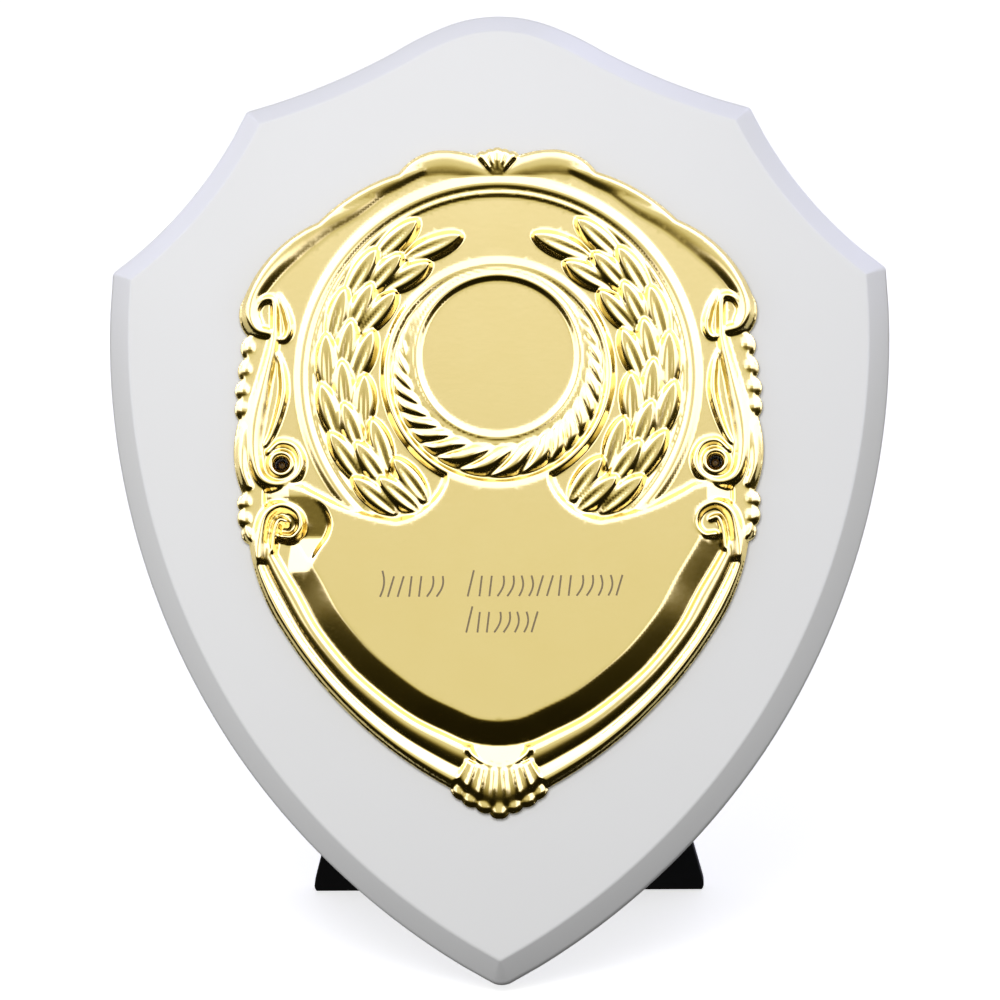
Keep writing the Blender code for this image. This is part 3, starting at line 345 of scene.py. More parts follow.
class Relief:
    """The ornament pressed into the gold front, as a height over the face."""

    EDGE_ROLL = 0.9
    EDGE_BEADS = [
        (39.9, 102.1), (40.4, 98.5), (40.8, 95.2), (40.9, 92.1), (40.4, 77.1), (40.3, 74.3), (39.4, 71.6)]
    BEAD_WIDTH, BEAD_LENGTH, BEAD_RISE, BEAD_DOME = 1.5, 1.65, 1.15, 0.7

    RING_CENTRE = (0.0, 97.1)
    RING_BROAD = (31.5, 1.3, 0.55)
    RING_THIN = (29.9, 0.6, 0.36)
    CRESCENT_CENTRE = (0.0, 97.5)
    CRESCENT_RING = (17.9, 1.0, 1.05)
    CRESCENT_FADE, CRESCENT_FADED = (math.radians(80.0), math.radians(150.0)), 0.65
    DISC_CENTRE = (0.0, 100.4)
    DISC_RIM = (13.2, 0.85, 0.55)
    DISC_STEP = (14.1, 0.6, 0.4)

    ROPE_INNER, ROPE_OUTER = 14.35, 16.95
    ROPE_REACH = math.radians(157.0)
    ROPE_PITCH = math.radians(17.5)
    ROPE_SLANT = 1.45
    ROPE_RISE, ROPE_FURROW, ROPE_TAPER = 0.28, 0.25, 0.6
    ROPE_TIGHTENS_FROM, ROPE_TIGHTEN_POWER, ROPE_TIGHTEN = 30.0, 1.15, 48.0
    ROPE_STRAND_FULLNESS, ROPE_SECTION = 0.75, (2.6, 0.8)

    WREATH_ROWS = [
        (27.6, 54.0, 16.4, 7, -6.0, 9.4), (24.8, 42.6, 15.5, 7, 0.0, 8.6), (21.9, 48.0, 19.6, 6, 13.0, 9.0),
        (23.5, 63.7, 0.0, 1, 4.0, 10.2)]
    LEAF_HALF_WIDTH, LEAF_LOW, LEAF_HIGH = 1.95, 0.4, 1.75
    LEAF_FURROW, LEAF_FURROW_WIDTH, LEAF_FURROW_END = 0.4, 0.3, 1.15
    LEAF_FULLNESS, LEAF_SECTION, LEAF_CLEARANCE = 0.6, (2.4, 0.6), 0.3

    FIELD_TOP = chain([
        (7.6, 81.2, -1.9, 8), (16.4, 73.3, -0.85, 8), (31.6, 78.9, 0.0, 1), (36.0, 80.0, 0.0, 1)])
    FIELD_FOOT = smooth_line([
        (-8.5, 39.8), (-4.5, 38.1), (0, 37.55), (4.5, 38.1), (8.5, 39.8), (13.6, 42.35), (18.6, 45.95),
        (23.7, 50.5), (28.7, 56.7), (31.9, 62.5), (34.9, 67.5), (37.0, 71.5), (37.5, 76.0), (37.5, 84.0)])
    FIELD_SLOPE, FIELD_LOW, FIELD_ROUND = 4.0, 0.75, 1.06
    FIELD_STEP, FIELD_STEP_OUT, ORNAMENT_FADE = (-1.3, 0.15), 0.7, 0.5
    FIELD_CRESCENT, FIELD_CRESCENT_HALF = 18.3, 8.0
    FIELD_LIMIT, WREATH_LIMIT = 84.0, 82.0
    HOLLOW_EDGE = smooth_line([
        (-29.4, 78.2), (-27.6, 76.4), (-26.6, 73.6), (-27.2, 71.2), (-28.7, 68.9), (-30.4, 65.4)])
    HOLLOW_TOP, HOLLOW_VALLEY, HOLLOW_BOTTOM, HOLLOW_DEPTH, HOLLOW_WALL = 78.0, 71.2, 65.8, 1.75, 0.8

    LOWER_EDGE = chain([(41.1, 72.8, 0.9, 6), (34.5, 56.1, 2.35, 14), (7.8, 31.0, 0.0, 1)], 6)
    BORDER_BEAD, BORDER_SWELL = (0.21, 0.26, 1.0), (0.44, 0.8, 1.0)
    BORDER_TOP = 73.0

    LOBE_STRANDS: list[Strand] = [
        ([(1.2, 130.3), (5.0, 131.9), (8.7, 132.6), (12.6, 131.7), (15.3, 130.3)],
         [1.0, 1.9, 2.2, 1.9, 1.0], [0.3, 0.5, 0.55, 0.5, 0.4]),
        ([(11.8, 131.1), (15.8, 129.8), (20.4, 128.0), (25.0, 125.2), (28.0, 123.2)],
         [0.8, 1.5, 1.9, 1.7, 0.9], [0.5, 0.65, 0.65, 0.55, 0.3]),
        ([(18.9, 127.0), (23.5, 124.6), (28.4, 122.4), (32.8, 119.4), (36.6, 115.4), (39.2, 111.0),
          (39.9, 107.4), (38.9, 105.0), (36.6, 104.2)],
         [0.6, 1.3, 1.8, 2.2, 2.2, 1.8, 1.3, 1.1, 0.8], [0.3, 0.45, 0.55, 0.65, 0.75, 0.95, 1.1, 1.1, 0.9])]
    LOBE_SIDES = (1.05, 1.3)
    STRAND_FULLNESS, SCROLL_BASE = 1.3, GROUND - 0.2
    SCROLL_STRANDS: list[Strand] = [
        ([(38.3, 105.8), (38.9, 107.8), (38.0, 109.6), (36.4, 109.9), (35.9, 108.6), (35.9, 104.0)],
         [0.7, 0.75, 0.8, 0.8, 0.8, 0.9], [0.8, 0.9, 1.0, 1.1, 1.2, 1.2]),
        ([(35.2, 110.4), (34.0, 107.6), (33.5, 105.0), (34.2, 103.4), (35.6, 103.4)],
         [0.5, 0.8, 0.9, 0.8, 0.6], [0.7, 1.0, 1.1, 0.9, 0.6]),
        ([(35.9, 104.0), (36.6, 100.5), (37.8, 95.5), (39.0, 90.0), (39.2, 85.0), (38.1, 81.0), (35.4, 79.8),
          (32.6, 80.9), (31.6, 83.4), (32.7, 85.9), (35.0, 86.5), (36.9, 85.0)],
         [1.0, 1.25, 1.45, 1.8, 1.85, 1.5, 1.3, 1.2, 1.1, 1.0, 0.85, 0.6],
         [1.2, 1.3, 1.3, 1.3, 1.3, 1.25, 1.2, 1.2, 1.2, 1.15, 1.1, 1.0]),
        ([(35.4, 101.0), (34.7, 98.6), (34.4, 95.0), (35.1, 91.4), (36.3, 87.9), (37.3, 86.2)],
         [0.4, 0.8, 0.95, 0.9, 0.7, 0.5], [0.7, 1.1, 1.2, 1.1, 1.0, 0.7]),
        ([(40.6, 89.0), (41.0, 85.0), (40.9, 82.0), (40.0, 79.6)],
         [0.9, 1.2, 1.2, 0.9], [0.7, 0.9, 0.9, 0.7]),
        ([(38.6, 68.0), (38.3, 71.0), (37.3, 74.8), (34.8, 76.4), (32.3, 75.3), (31.6, 73.0), (32.9, 71.3),
          (34.8, 71.4)],
         [1.3, 1.35, 1.25, 1.15, 1.1, 1.0, 0.85, 0.6], [1.2, 1.3, 1.5, 1.65, 1.65, 1.6, 1.5, 1.3]),
        ([(36.2, 69.0), (36.0, 71.6), (35.2, 74.0), (33.9, 73.8)],
         [0.5, 0.7, 0.8, 0.6], [1.0, 1.1, 1.2, 1.1])]
    VOLUTE_SEAT, VOLUTE_SEAT_RADIUS, VOLUTE_SEAT_LEVEL = (34.6, 73.6), 3.3, 1.9
    PIN_BOSS = (1.75, 0.75, 1.05)

    FOOT_SHELL_CENTRE, FOOT_SHELL_SPREAD, FLUTE_STEP = (0.0, 44.9), math.radians(28.5), math.radians(8.1)
    FOOT_SHELL_INNER, FLUTE_END, FLUTE_SHORTER, FLUTE_DROP = 10.3, 16.2, 5.0, 1.2
    FLUTE_FLOOR, FLUTE_FALL, FLUTE_RIDGE, HEAD_LEVEL, HEAD_RISE = 1.3, 0.75, 0.55, 0.25, 0.25
    FLUTE_GROWS, FLUTE_SHARPNESS, HEAD_ROUNDNESS = (0.3, 0.7), 3, 0.7
    DISH_CENTRE, DISH_TOP, DISH_RADIUS, DISH_LIP = (0.0, 40.4), 37.5, 5.5, (6.0, 0.6, 1.5)
    DISH_LOW, DISH_RISE = 0.1, 1.3
    DISH_KNOB, DISH_KNOB_RADIUS, DISH_KNOB_RISE, DISH_KNOB_DOME = (4.9, 37.0), 1.0, 1.5, 0.8
    TOP_SHELL_CENTRE, TOP_SHELL_SPREAD, TOP_RIB_STEP = (0.0, 129.2), math.radians(42.0), math.radians(17.0)
    TOP_SHELL_INNER, TOP_SHELL_OUTER, TOP_SHELL_RISE, TOP_SHELL_START = 0.8, 6.5, 1.1, 3.0
    TOP_RIB_LOW, TOP_RIB_RISE = 0.45, 0.55

    def leaf(self, x: np.ndarray, w: np.ndarray, stalk: Point, angle: float, length: float) -> np.ndarray:
        """Rise of one laurel leaf: a pointed boat with a furrow, low at its stalk and high at its tip.

        Args:
            x, w: Places over the face.
            stalk: The leaf's lower end.
            angle: Its lean from straight up.
            length: Its length.

        Returns:
            The rise at each place, 0 outside the leaf.
        """
        along_x, along_w = math.sin(angle), math.cos(angle)
        s = ((x - stalk[0]) * along_x + (w - stalk[1]) * along_w) / length
        across = np.abs((x - stalk[0]) * along_w - (w - stalk[1]) * along_x)
        inside = np.clip(s, 1e-4, 1 - 1e-4)
        half_width = self.LEAF_HALF_WIDTH * (4 * inside * (1 - inside)) ** self.LEAF_FULLNESS
        r = np.clip(across / half_width, 0, 1)
        furrow = self.LEAF_FURROW * np.exp(-(r / self.LEAF_FURROW_WIDTH) ** 2)
        furrow = furrow * (self.LEAF_FURROW_END - inside)
        body = self.LEAF_LOW + (self.LEAF_HIGH - self.LEAF_LOW) * (1 - (1 - inside) ** 2)
        flat, round_off = self.LEAF_SECTION
        return np.where((s > 0) & (s < 1), body * ((1 - r ** flat) ** round_off - furrow), 0.0)

    def wreath(self, x: np.ndarray, w: np.ndarray) -> np.ndarray:
        """Rise of one laurel branch: rows of leaves round the ring's centre, tips up and inward.

        Args:
            x, w: Places over the face.

        Returns:
            The rise at each place.
        """
        rise = np.zeros(x.shape)
        for radius, first, step, count, lean, length in self.WREATH_ROWS:
            for k in range(count):
                place = math.radians(first - step * k)
                angle = -(place + math.radians(lean))
                middle_x = self.RING_CENTRE[0] + radius * math.cos(place)
                middle_w = self.RING_CENTRE[1] + radius * math.sin(place)
                stalk = (middle_x - math.sin(angle) * length / 2, middle_w - math.cos(angle) * length / 2)
                rise = np.maximum(rise, self.leaf(x, w, stalk, angle, length))
        return rise

    def rope(self, x: np.ndarray, w: np.ndarray) -> np.ndarray:
        """Rise of the twisted rope, which tapers up both sides of the disc.

        Args:
            x, w: Places over the face.

        Returns:
            The rise at each place.
        """
        radius, angle = from_centre(x, w, self.CRESCENT_CENTRE)
        offset = self.DISC_CENTRE[1] - self.CRESCENT_CENTRE[1]
        inner = np.sqrt(self.ROPE_INNER ** 2 - (offset * np.sin(angle)) ** 2) - offset * np.cos(angle)
        width = np.maximum(self.ROPE_OUTER - inner, TINY)
        across = (radius - inner) / width
        reached = np.abs(angle)
        beyond = np.maximum(np.degrees(reached) - self.ROPE_TIGHTENS_FROM, 0)
        tightened = beyond ** self.ROPE_TIGHTEN_POWER / self.ROPE_TIGHTEN
        strand = np.sign(angle) * (reached / self.ROPE_PITCH + tightened) + self.ROPE_SLANT * across
        phase = strand - np.floor(strand)
        body = np.clip(1 - (2 * phase - 1) ** 2, 0, 1) ** self.ROPE_STRAND_FULLNESS
        flat, round_off = self.ROPE_SECTION
        section = np.clip(1 - np.abs(2 * across - 1) ** flat, 0, 1) ** round_off
        taper = np.clip((self.ROPE_REACH - reached) / self.ROPE_TAPER, 0, 1)
        return self.ROPE_RISE * width * taper * section * (self.ROPE_FURROW + (1 - self.ROPE_FURROW) * body)

    def add_strands(self, height: np.ndarray, x: np.ndarray, w: np.ndarray, strands: list[Strand],
                    base: float, sides: tuple[float, float] = (1.0, 1.0)) -> np.ndarray:
        """Lay rounded strands over the height.

        Args:
            height: The height so far.
            x, w: Places over the face.
            strands: Each strand's points, half widths and rises.
            base: The level that they rise from.
            sides: What widens them to the left and to the right of their travel.

        Returns:
            The new height.
        """
        for points, widths, rises in strands:
            distance, along, side = nearest(x, w, smooth_line(points), max(widths) * max(sides))
            half_width = np.interp(along, np.linspace(0, 1, len(widths)), widths)
            half_width = half_width * np.where(side > 0, *sides)
            rise = np.interp(along, np.linspace(0, 1, len(rises)), rises)
            height = lay(height, base, rise * hill(distance, half_width, self.STRAND_FULLNESS))
        return height

    def add_foot_shell(self, height: np.ndarray, x: np.ndarray, w: np.ndarray) -> np.ndarray:
        """The bottom shell: flutes between thin ridges, round heads, and a dish with a rolled lip above them.

        Args:
            height: The height so far.
            x, w: Places over the face.

        Returns:
            The new height.
        """
        radius, angle = from_centre(x, w, self.FOOT_SHELL_CENTRE)
        round_part = np.abs(np.cos(np.pi * angle / self.FLUTE_STEP))
        before, after = self.FLUTE_GROWS
        grow = ease(self.FOOT_SHELL_INNER - before, self.FOOT_SHELL_INNER + after, radius)
        out = np.clip((radius - self.FOOT_SHELL_INNER) / (self.FLUTE_END - self.FOOT_SHELL_INNER), 0, 1)
        ridges = self.FLUTE_RIDGE * (1 - round_part) ** self.FLUTE_SHARPNESS
        flutes = grow * (self.FLUTE_FLOOR - self.FLUTE_FALL * out ** self.FLUTE_SHARPNESS + ridges)
        heads = self.HEAD_LEVEL + self.HEAD_RISE * round_part ** self.HEAD_ROUNDNESS
        drop = ease(0.0, self.FLUTE_DROP, radius - self.FLUTE_END + self.FLUTE_SHORTER * np.abs(angle))
        fan = (radius > self.FOOT_SHELL_INNER) & (np.abs(angle) < self.FOOT_SHELL_SPREAD)
        height = np.where(fan, BORDER_GROUND + flutes * (1 - drop) + heads * drop, height)
        dish, _ = from_centre(x, w, self.DISH_CENTRE)
        lip = (w < self.DISH_TOP) & (np.abs(dish - self.DISH_LIP[0]) < self.DISH_LIP[1])
        height = np.where(lip, lay(height, BORDER_GROUND, bead_round(dish, self.DISH_LIP)), height)
        dish_height = self.DISH_TOP - self.DISH_CENTRE[1] + self.DISH_RADIUS
        below_top = np.clip((self.DISH_TOP - w) / dish_height, 0, 1)
        bowl = (w < self.DISH_TOP) & (dish <= self.DISH_RADIUS)
        height = np.where(bowl, BORDER_GROUND + self.DISH_LOW + self.DISH_RISE * below_top, height)
        knob = np.hypot(np.abs(x) - self.DISH_KNOB[0], w - self.DISH_KNOB[1])
        dome = hill(knob, self.DISH_KNOB_RADIUS, self.DISH_KNOB_DOME)
        return lay(height, BORDER_GROUND, self.DISH_KNOB_RISE * dome)

    def add_top_shell(self, height: np.ndarray, x: np.ndarray, w: np.ndarray) -> np.ndarray:
        """The small fan at the top of the front.

        Args:
            height: The height so far.
            x, w: Places over the face.

        Returns:
            The new height.
        """
        radius, angle = from_centre(x, w, self.TOP_SHELL_CENTRE)
        up = math.pi - np.abs(angle)
        rib = np.abs(np.cos(np.pi * up / self.TOP_RIB_STEP))
        fan = (up < self.TOP_SHELL_SPREAD) & (radius > self.TOP_SHELL_INNER) & (radius < self.TOP_SHELL_OUTER)
        grow = np.clip(radius / self.TOP_SHELL_START, 0, 1)
        ribs = self.TOP_RIB_LOW + self.TOP_RIB_RISE * rib
        return np.where(fan, GROUND + self.TOP_SHELL_RISE * grow * ribs, height)

    def field(self, x: np.ndarray, w: np.ndarray, crescent: np.ndarray) -> tuple:
        """The engraving field and its slopes.

        Args:
            x, w: Places over the face.
            crescent: Their distance from the crescent's centre.

        Returns:
            Height there, distance in from the slope's foot, and distance below the field's upper edge.
        """
        across = np.abs(x)
        foot_distance, _, foot_side = nearest(across, w, self.FIELD_FOOT)
        in_from_foot = foot_distance * foot_side
        top_distance, _, top_side = nearest(across, w, self.FIELD_TOP)
        below_top = np.minimum(-top_distance * top_side, crescent - self.FIELD_CRESCENT + self.FIELD_STEP_OUT)
        below_top = np.where(across > self.FIELD_CRESCENT_HALF, below_top, crescent - self.FIELD_CRESCENT)
        slope = 1 - np.clip(1 - in_from_foot / self.FIELD_SLOPE, 0, 1) ** self.FIELD_ROUND
        wall, _, wall_side = nearest(x, w, self.HOLLOW_EDGE)
        falling = (self.HOLLOW_TOP - w) / (self.HOLLOW_TOP - self.HOLLOW_VALLEY)
        rising = (w - self.HOLLOW_BOTTOM) / (self.HOLLOW_VALLEY - self.HOLLOW_BOTTOM)
        depth = self.HOLLOW_DEPTH * np.clip(np.minimum(falling, rising), 0, 1)
        hollow = depth * ease(0.0, self.HOLLOW_WALL, -wall * wall_side)
        height = self.FIELD_LOW + (FIELD - self.FIELD_LOW) * slope - hollow
        return GROUND + (height - GROUND) * ease(*self.FIELD_STEP, below_top), in_from_foot, below_top

    def height(self, x: np.ndarray, w: np.ndarray) -> np.ndarray:
        """Height of the gold front's face above the board, in millimetres.

        Args:
            x, w: Places over the face.

        Returns:
            The height at each place.
        """
        across = np.abs(x)
        ring, _ = from_centre(x, w, self.RING_CENTRE)
        crescent, turn = from_centre(x, w, self.CRESCENT_CENTRE)
        disc, _ = from_centre(x, w, self.DISC_CENTRE)
        field, in_from_foot, below_top = self.field(x, w, crescent)
        height = np.where((w < self.FIELD_LIMIT) & (in_from_foot > 0), field, GROUND)

        above_field = np.where(w > self.WREATH_LIMIT, 1.0, np.clip(self.ORNAMENT_FADE - below_top, 0, 1))
        rings = np.maximum(bead_round(ring, self.RING_BROAD), bead_round(ring, self.RING_THIN))
        leaves = np.where(ring < self.RING_THIN[0] - self.LEAF_CLEARANCE, self.wreath(across, w), 0.0)
        height = lay(height, GROUND, np.maximum(rings, leaves) * above_field)

        height = np.where(crescent < self.CRESCENT_RING[0], GROUND, height)
        faded = 1 - self.CRESCENT_FADED * ease(*self.CRESCENT_FADE, np.abs(turn))
        height = lay(height, GROUND, faded * bead_round(crescent, self.CRESCENT_RING))
        height = np.where(crescent < self.ROPE_OUTER, GROUND + self.rope(x, w), height)
        height = np.where(disc < self.DISC_RIM[0], GROUND, height)
        rims = np.maximum(bead_round(disc, self.DISC_RIM), bead_round(disc, self.DISC_STEP))
        height = lay(height, GROUND, rims)

        in_from_edge, _, edge_side = nearest(across, w, self.LOWER_EDGE)
        share = in_from_edge / np.maximum(in_from_edge - in_from_foot, TINY)
        start, crest, rise = self.BORDER_SWELL
        outer = np.clip((share - start) / (crest - start), 0, 1)
        inner = np.clip((1 - share) / (1 - crest), 0, 1)
        swell = rise * (1 - (1 - outer) ** 2) * (1 - (1 - inner) ** 2)
        border = (w < self.BORDER_TOP) & (in_from_foot <= 0) & (edge_side <= 0)
        moulding = np.maximum(bead_round(share, self.BORDER_BEAD), swell)
        height = np.where(border, BORDER_GROUND + moulding, height)

        seat, _ = from_centre(across, w, self.VOLUTE_SEAT)
        height = np.where(seat < self.VOLUTE_SEAT_RADIUS, np.minimum(height, self.VOLUTE_SEAT_LEVEL), height)
        height = self.add_strands(height, across, w, self.LOBE_STRANDS, GROUND, self.LOBE_SIDES)
        height = self.add_strands(height, across, w, self.SCROLL_STRANDS, self.SCROLL_BASE)
        boss, _ = from_centre(across, w, PIN_CENTRE)
        height = lay(height, GROUND, bead_round(boss, self.PIN_BOSS))
        for bead_x, bead_w in self.EDGE_BEADS:
            away = np.hypot((across - bead_x) / self.BEAD_WIDTH, (w - bead_w) / self.BEAD_LENGTH)
            height = lay(height, FRONT_EDGE, self.BEAD_RISE * hill(away, 1.0, self.BEAD_DOME))
        height = self.add_foot_shell(height, x, w)
        height = self.add_top_shell(height, x, w)

        outline = both_halves(chain(FRONT_HALF))
        to_edge, _, _ = nearest(x, w, outline + outline[:1], self.EDGE_ROLL)
        roll = 1 - (1 - np.clip(to_edge / self.EDGE_ROLL, 0, 1)) ** 2
        return FRONT_EDGE + (np.maximum(height, FRONT_EDGE) - FRONT_EDGE) * roll


@dataclass
class ReliefGrid:
    """The relief sampled on an even lattice, from which graded points and slopes are taken."""

    relief: Relief
    low: Point = (-43.2, 25.6)
    columns: int = 432
    rows: int = 552
    step: float = 0.2
    coarsest: int = 8
    tolerances: tuple[float, ...] = (0.012, 0.018, 0.05)
    slope_tolerances: tuple[float, ...] = (0.3, 0.38, 0.46)
    soft_passes: int = 2

    def __post_init__(self) -> None:
        """Sample the lattice."""
        self.x = self.low[0] + np.arange(self.columns + 1) * self.step
        self.w = self.low[1] + np.arange(self.rows + 1) * self.step
        grid_w, grid_x = np.meshgrid(self.w, self.x, indexing="ij")
        self.heights = self.softened(self.relief.height(grid_x, grid_w))
        self.slope_w, self.slope_x = np.gradient(self.heights, self.step)

    def softened(self, heights: np.ndarray) -> np.ndarray:
        """The heights with every crease rounded a little, as pressing rounds thin sheet.

        Args:
            heights: The lattice's heights.

        Returns:
            The softened heights.
        """
        for axis in (0, 1) * self.soft_passes:
            heights = (np.roll(heights, 1, axis) + 2 * heights + np.roll(heights, -1, axis)) / 4
        return heights

    def points(self) -> np.ndarray:
        """Lattice points, close together only where the relief bends.

        Returns:
            Rows of row number and column number.
        """
        keep = np.zeros(self.heights.shape, bool)
        keep[::self.coarsest, ::self.coarsest] = True
        size = self.coarsest
        split = np.ones((self.rows // size, self.columns // size), bool)
        for tolerance, slope_tolerance in zip(self.tolerances, self.slope_tolerances):
            windows, tilts_x, tilts_w = (
                np.lib.stride_tricks.sliding_window_view(table, (size + 1, size + 1))[::size, ::size]
                for table in (self.heights, self.slope_x, self.slope_w))
            t = np.arange(size + 1) / size
            down, right = t[:, None], t[None, :]
            corner = [windows[..., i, k][..., None, None] for i in (0, size) for k in (0, size)]
            flat = (corner[0] * (1 - down) * (1 - right) + corner[1] * (1 - down) * right
                    + corner[2] * down * (1 - right) + corner[3] * down * right)
            bends = np.maximum(np.ptp(tilts_x, axis=(2, 3)), np.ptp(tilts_w, axis=(2, 3))) > slope_tolerance
            split = split & (bends | (np.abs(windows - flat).max(axis=(2, 3)) > tolerance))
            half = size // 2
            for row, column in np.argwhere(split):
                r, c = row * size, column * size
                keep[r:r + size + 1:half, c:c + size + 1:half] = True
            split = np.repeat(np.repeat(split, 2, axis=0), 2, axis=1)
            size = half
        return np.argwhere(keep)

    def sample(self, table: np.ndarray, x: np.ndarray, w: np.ndarray) -> np.ndarray:
        """Values of a table of the lattice at any places, blended between its points.

        Args:
            table: The lattice's heights or slopes.
            x, w: Places over the face.

        Returns:
            The value at each place.
        """
        column = np.clip((x - self.low[0]) / self.step, 0, self.columns - TINY)
        row = np.clip((w - self.low[1]) / self.step, 0, self.rows - TINY)
        c, r = column.astype(int), row.astype(int)
        u, v = column - c, row - r
        return ((table[r, c] * (1 - u) + table[r, c + 1] * u) * (1 - v)
                + (table[r + 1, c] * (1 - u) + table[r + 1, c + 1] * u) * v)


def inside_loop(x: np.ndarray, w: np.ndarray, loop: list[Point]) -> np.ndarray:
    """Whether each point lies inside a closed loop.

    Args:
        x, w: The points.
        loop: The closed loop.

    Returns:
        True for each point inside.
    """
    inside = np.zeros(x.shape, bool)
    for (x0, w0), (x1, w1) in zip(loop, loop[1:] + loop[:1]):
        if w0 == w1:
            continue
        crosses = (w > w0) != (w > w1)
        inside ^= crosses & (x < x0 + (w - w0) / (w1 - w0) * (x1 - x0))
    return inside


def fill_loops(loops: list[list[Point]], inner: np.ndarray) -> tuple[np.ndarray, np.ndarray]:
    """Triangles that fill the first loop around its round holes, through the inner points.

    Args:
        loops: The outline, then each hole.
        inner: Further points inside.

    Returns:
        All the points, and the triangles as their numbers.
    """
    points = [p for loop in loops for p in loop]
    edges = []
    first = 0
    for loop in loops:
        edges += [(first + i, first + (i + 1) % len(loop)) for i in range(len(loop))]
        first += len(loop)
    flat = [Vector(p) for p in points] + [Vector(p) for p in inner]
    same_point = 1e-7
    result = delaunay_2d_cdt(flat, edges, [], 1, same_point)
    where = np.array([tuple(v) for v in result[0]])
    triangles = np.array(result[2])
    middles = where[triangles].mean(axis=1)
    keep = np.ones(len(triangles), bool)
    for hole in loops[1:]:
        hole_points = np.array(hole)
        centre = hole_points.mean(axis=0)
        radius = np.hypot(*(hole_points[0] - centre))
        keep &= np.hypot(*(middles - centre).T) > radius * math.cos(math.pi / len(hole))
    return where, triangles[keep]


# Meshes and pieces


@dataclass
class Piece:
    """A piece of the plaque that rides on a body of the CAD and may stand for one of its nodes."""

    name: str
    body: str
    slot: str
    replaces: tuple[str, ...] = ()

    def dress(self, item: bpy.types.Object, finish: bpy.types.Material) -> bpy.types.Object:
        """Give an object its finish, hang it on the empty of the body that it rides on, and hide the CAD
        nodes that it stands for.

        Args:
            item: The object.
            finish: Its material.

        Returns:
            The same object.
        """
        item.data.materials.append(finish)
        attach(item, self.body)
        if self.replaces:
            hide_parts(*self.replaces)
        LOG.info("%s: %d triangles", self.name, sum(len(p.vertices) - 2 for p in item.data.polygons))
        return item


def new_object(name: str, mesh: bpy.types.Mesh, place: Matrix) -> bpy.types.Object:
    """An object at the origin, its mesh moved to its place in the world.

    Args:
        name: The object's name.
        mesh: Its mesh, in its own frame.
        place: That frame's place in the world.

    Returns:
        The object.
    """
    mesh.transform(place)
    item = bpy.data.objects.new(name, mesh)
    bpy.context.scene.collection.objects.link(item)
    return item


def mesh_from_bmesh(name: str, shape: bmesh.types.BMesh) -> bpy.types.Mesh:
    """A mesh in metres from a bmesh in millimetres, smooth except at sharp corners.

    Args:
        name: The mesh's name.
        shape: The bmesh, which is freed.

    Returns:
        The mesh.
    """
    bmesh.ops.scale(shape, vec=(MM, MM, MM), verts=shape.verts)
    bmesh.ops.recalc_face_normals(shape, faces=shape.faces)
    mesh = bpy.data.meshes.new(name)
    shape.to_mesh(mesh)
    shape.free()
    mesh.shade_smooth()
    mesh.set_sharp_from_angle(angle=SMOOTH_ANGLE)
    return mesh


def rod(radius: float, start: Sequence[float], end: Sequence[float], sides: int = 48) -> bmesh.types.BMesh:
    """A round rod between two points.

    Args:
        radius: The rod's radius.
        start, end: The middles of its ends.
        sides: Its number of sides.

    Returns:
        The rod.
    """
    shape = bmesh.new()
    run = Vector(end) - Vector(start)
    middle = Matrix.Translation((Vector(start) + Vector(end)) / 2)
    place = middle @ run.to_track_quat("Z", "Y").to_matrix().to_4x4()
    bmesh.ops.create_cone(shape, cap_ends=True, segments=sides, radius1=radius, radius2=radius,
                          depth=run.length, matrix=place)
    return shape


def box(low: Sequence[float], high: Sequence[float]) -> bmesh.types.BMesh:
    """A box between two corners.

    Args:
        low, high: The corners.

    Returns:
        The box.
    """
    shape = bmesh.new()
    size, middle = Vector(high) - Vector(low), (Vector(high) + Vector(low)) / 2
    bmesh.ops.create_cube(shape, size=1.0, matrix=Matrix.Translation(middle) @ Matrix.Diagonal((*size, 1.0)))
    return shape


def plate(loop: list[Point], low: float, high: float) -> bmesh.types.BMesh:
    """A flat plate.

    Args:
        loop: Its outline over x and z.
        low, high: Its two depths in y.

    Returns:
        The plate.
    """
    shape = bmesh.new()
    face = shape.faces.new([shape.verts.new((x, low, z)) for x, z in loop])
    out = bmesh.ops.extrude_face_region(shape, geom=[face])
    moved = [v for v in out["geom"] if isinstance(v, bmesh.types.BMVert)]
    bmesh.ops.translate(shape, vec=(0.0, high - low, 0.0), verts=moved)
    return shape


def turned(profile: list[Point], sides: int) -> bmesh.types.BMesh:
    """A shape turned about the Y axis.

    Args:
        profile: Radius and y of each ring, with its two ends on the axis.
        sides: Number of sides.

    Returns:
        The turned shape.
    """
    shape = bmesh.new()
    rings = []
    for radius, y in profile:
        if radius == 0.0:
            rings.append([shape.verts.new((0.0, y, 0.0))])
            continue
        turns = [2 * math.pi * i / sides for i in range(sides)]
        rings.append([shape.verts.new((radius * math.cos(a), y, radius * math.sin(a))) for a in turns])
    for near, far in zip(rings, rings[1:]):
        for i in range(sides):
            j = (i + 1) % sides
            corners = [near[i % len(near)], near[j % len(near)], far[j % len(far)], far[i % len(far)]]
            shape.faces.new(list(dict.fromkeys(corners)))
    return shape


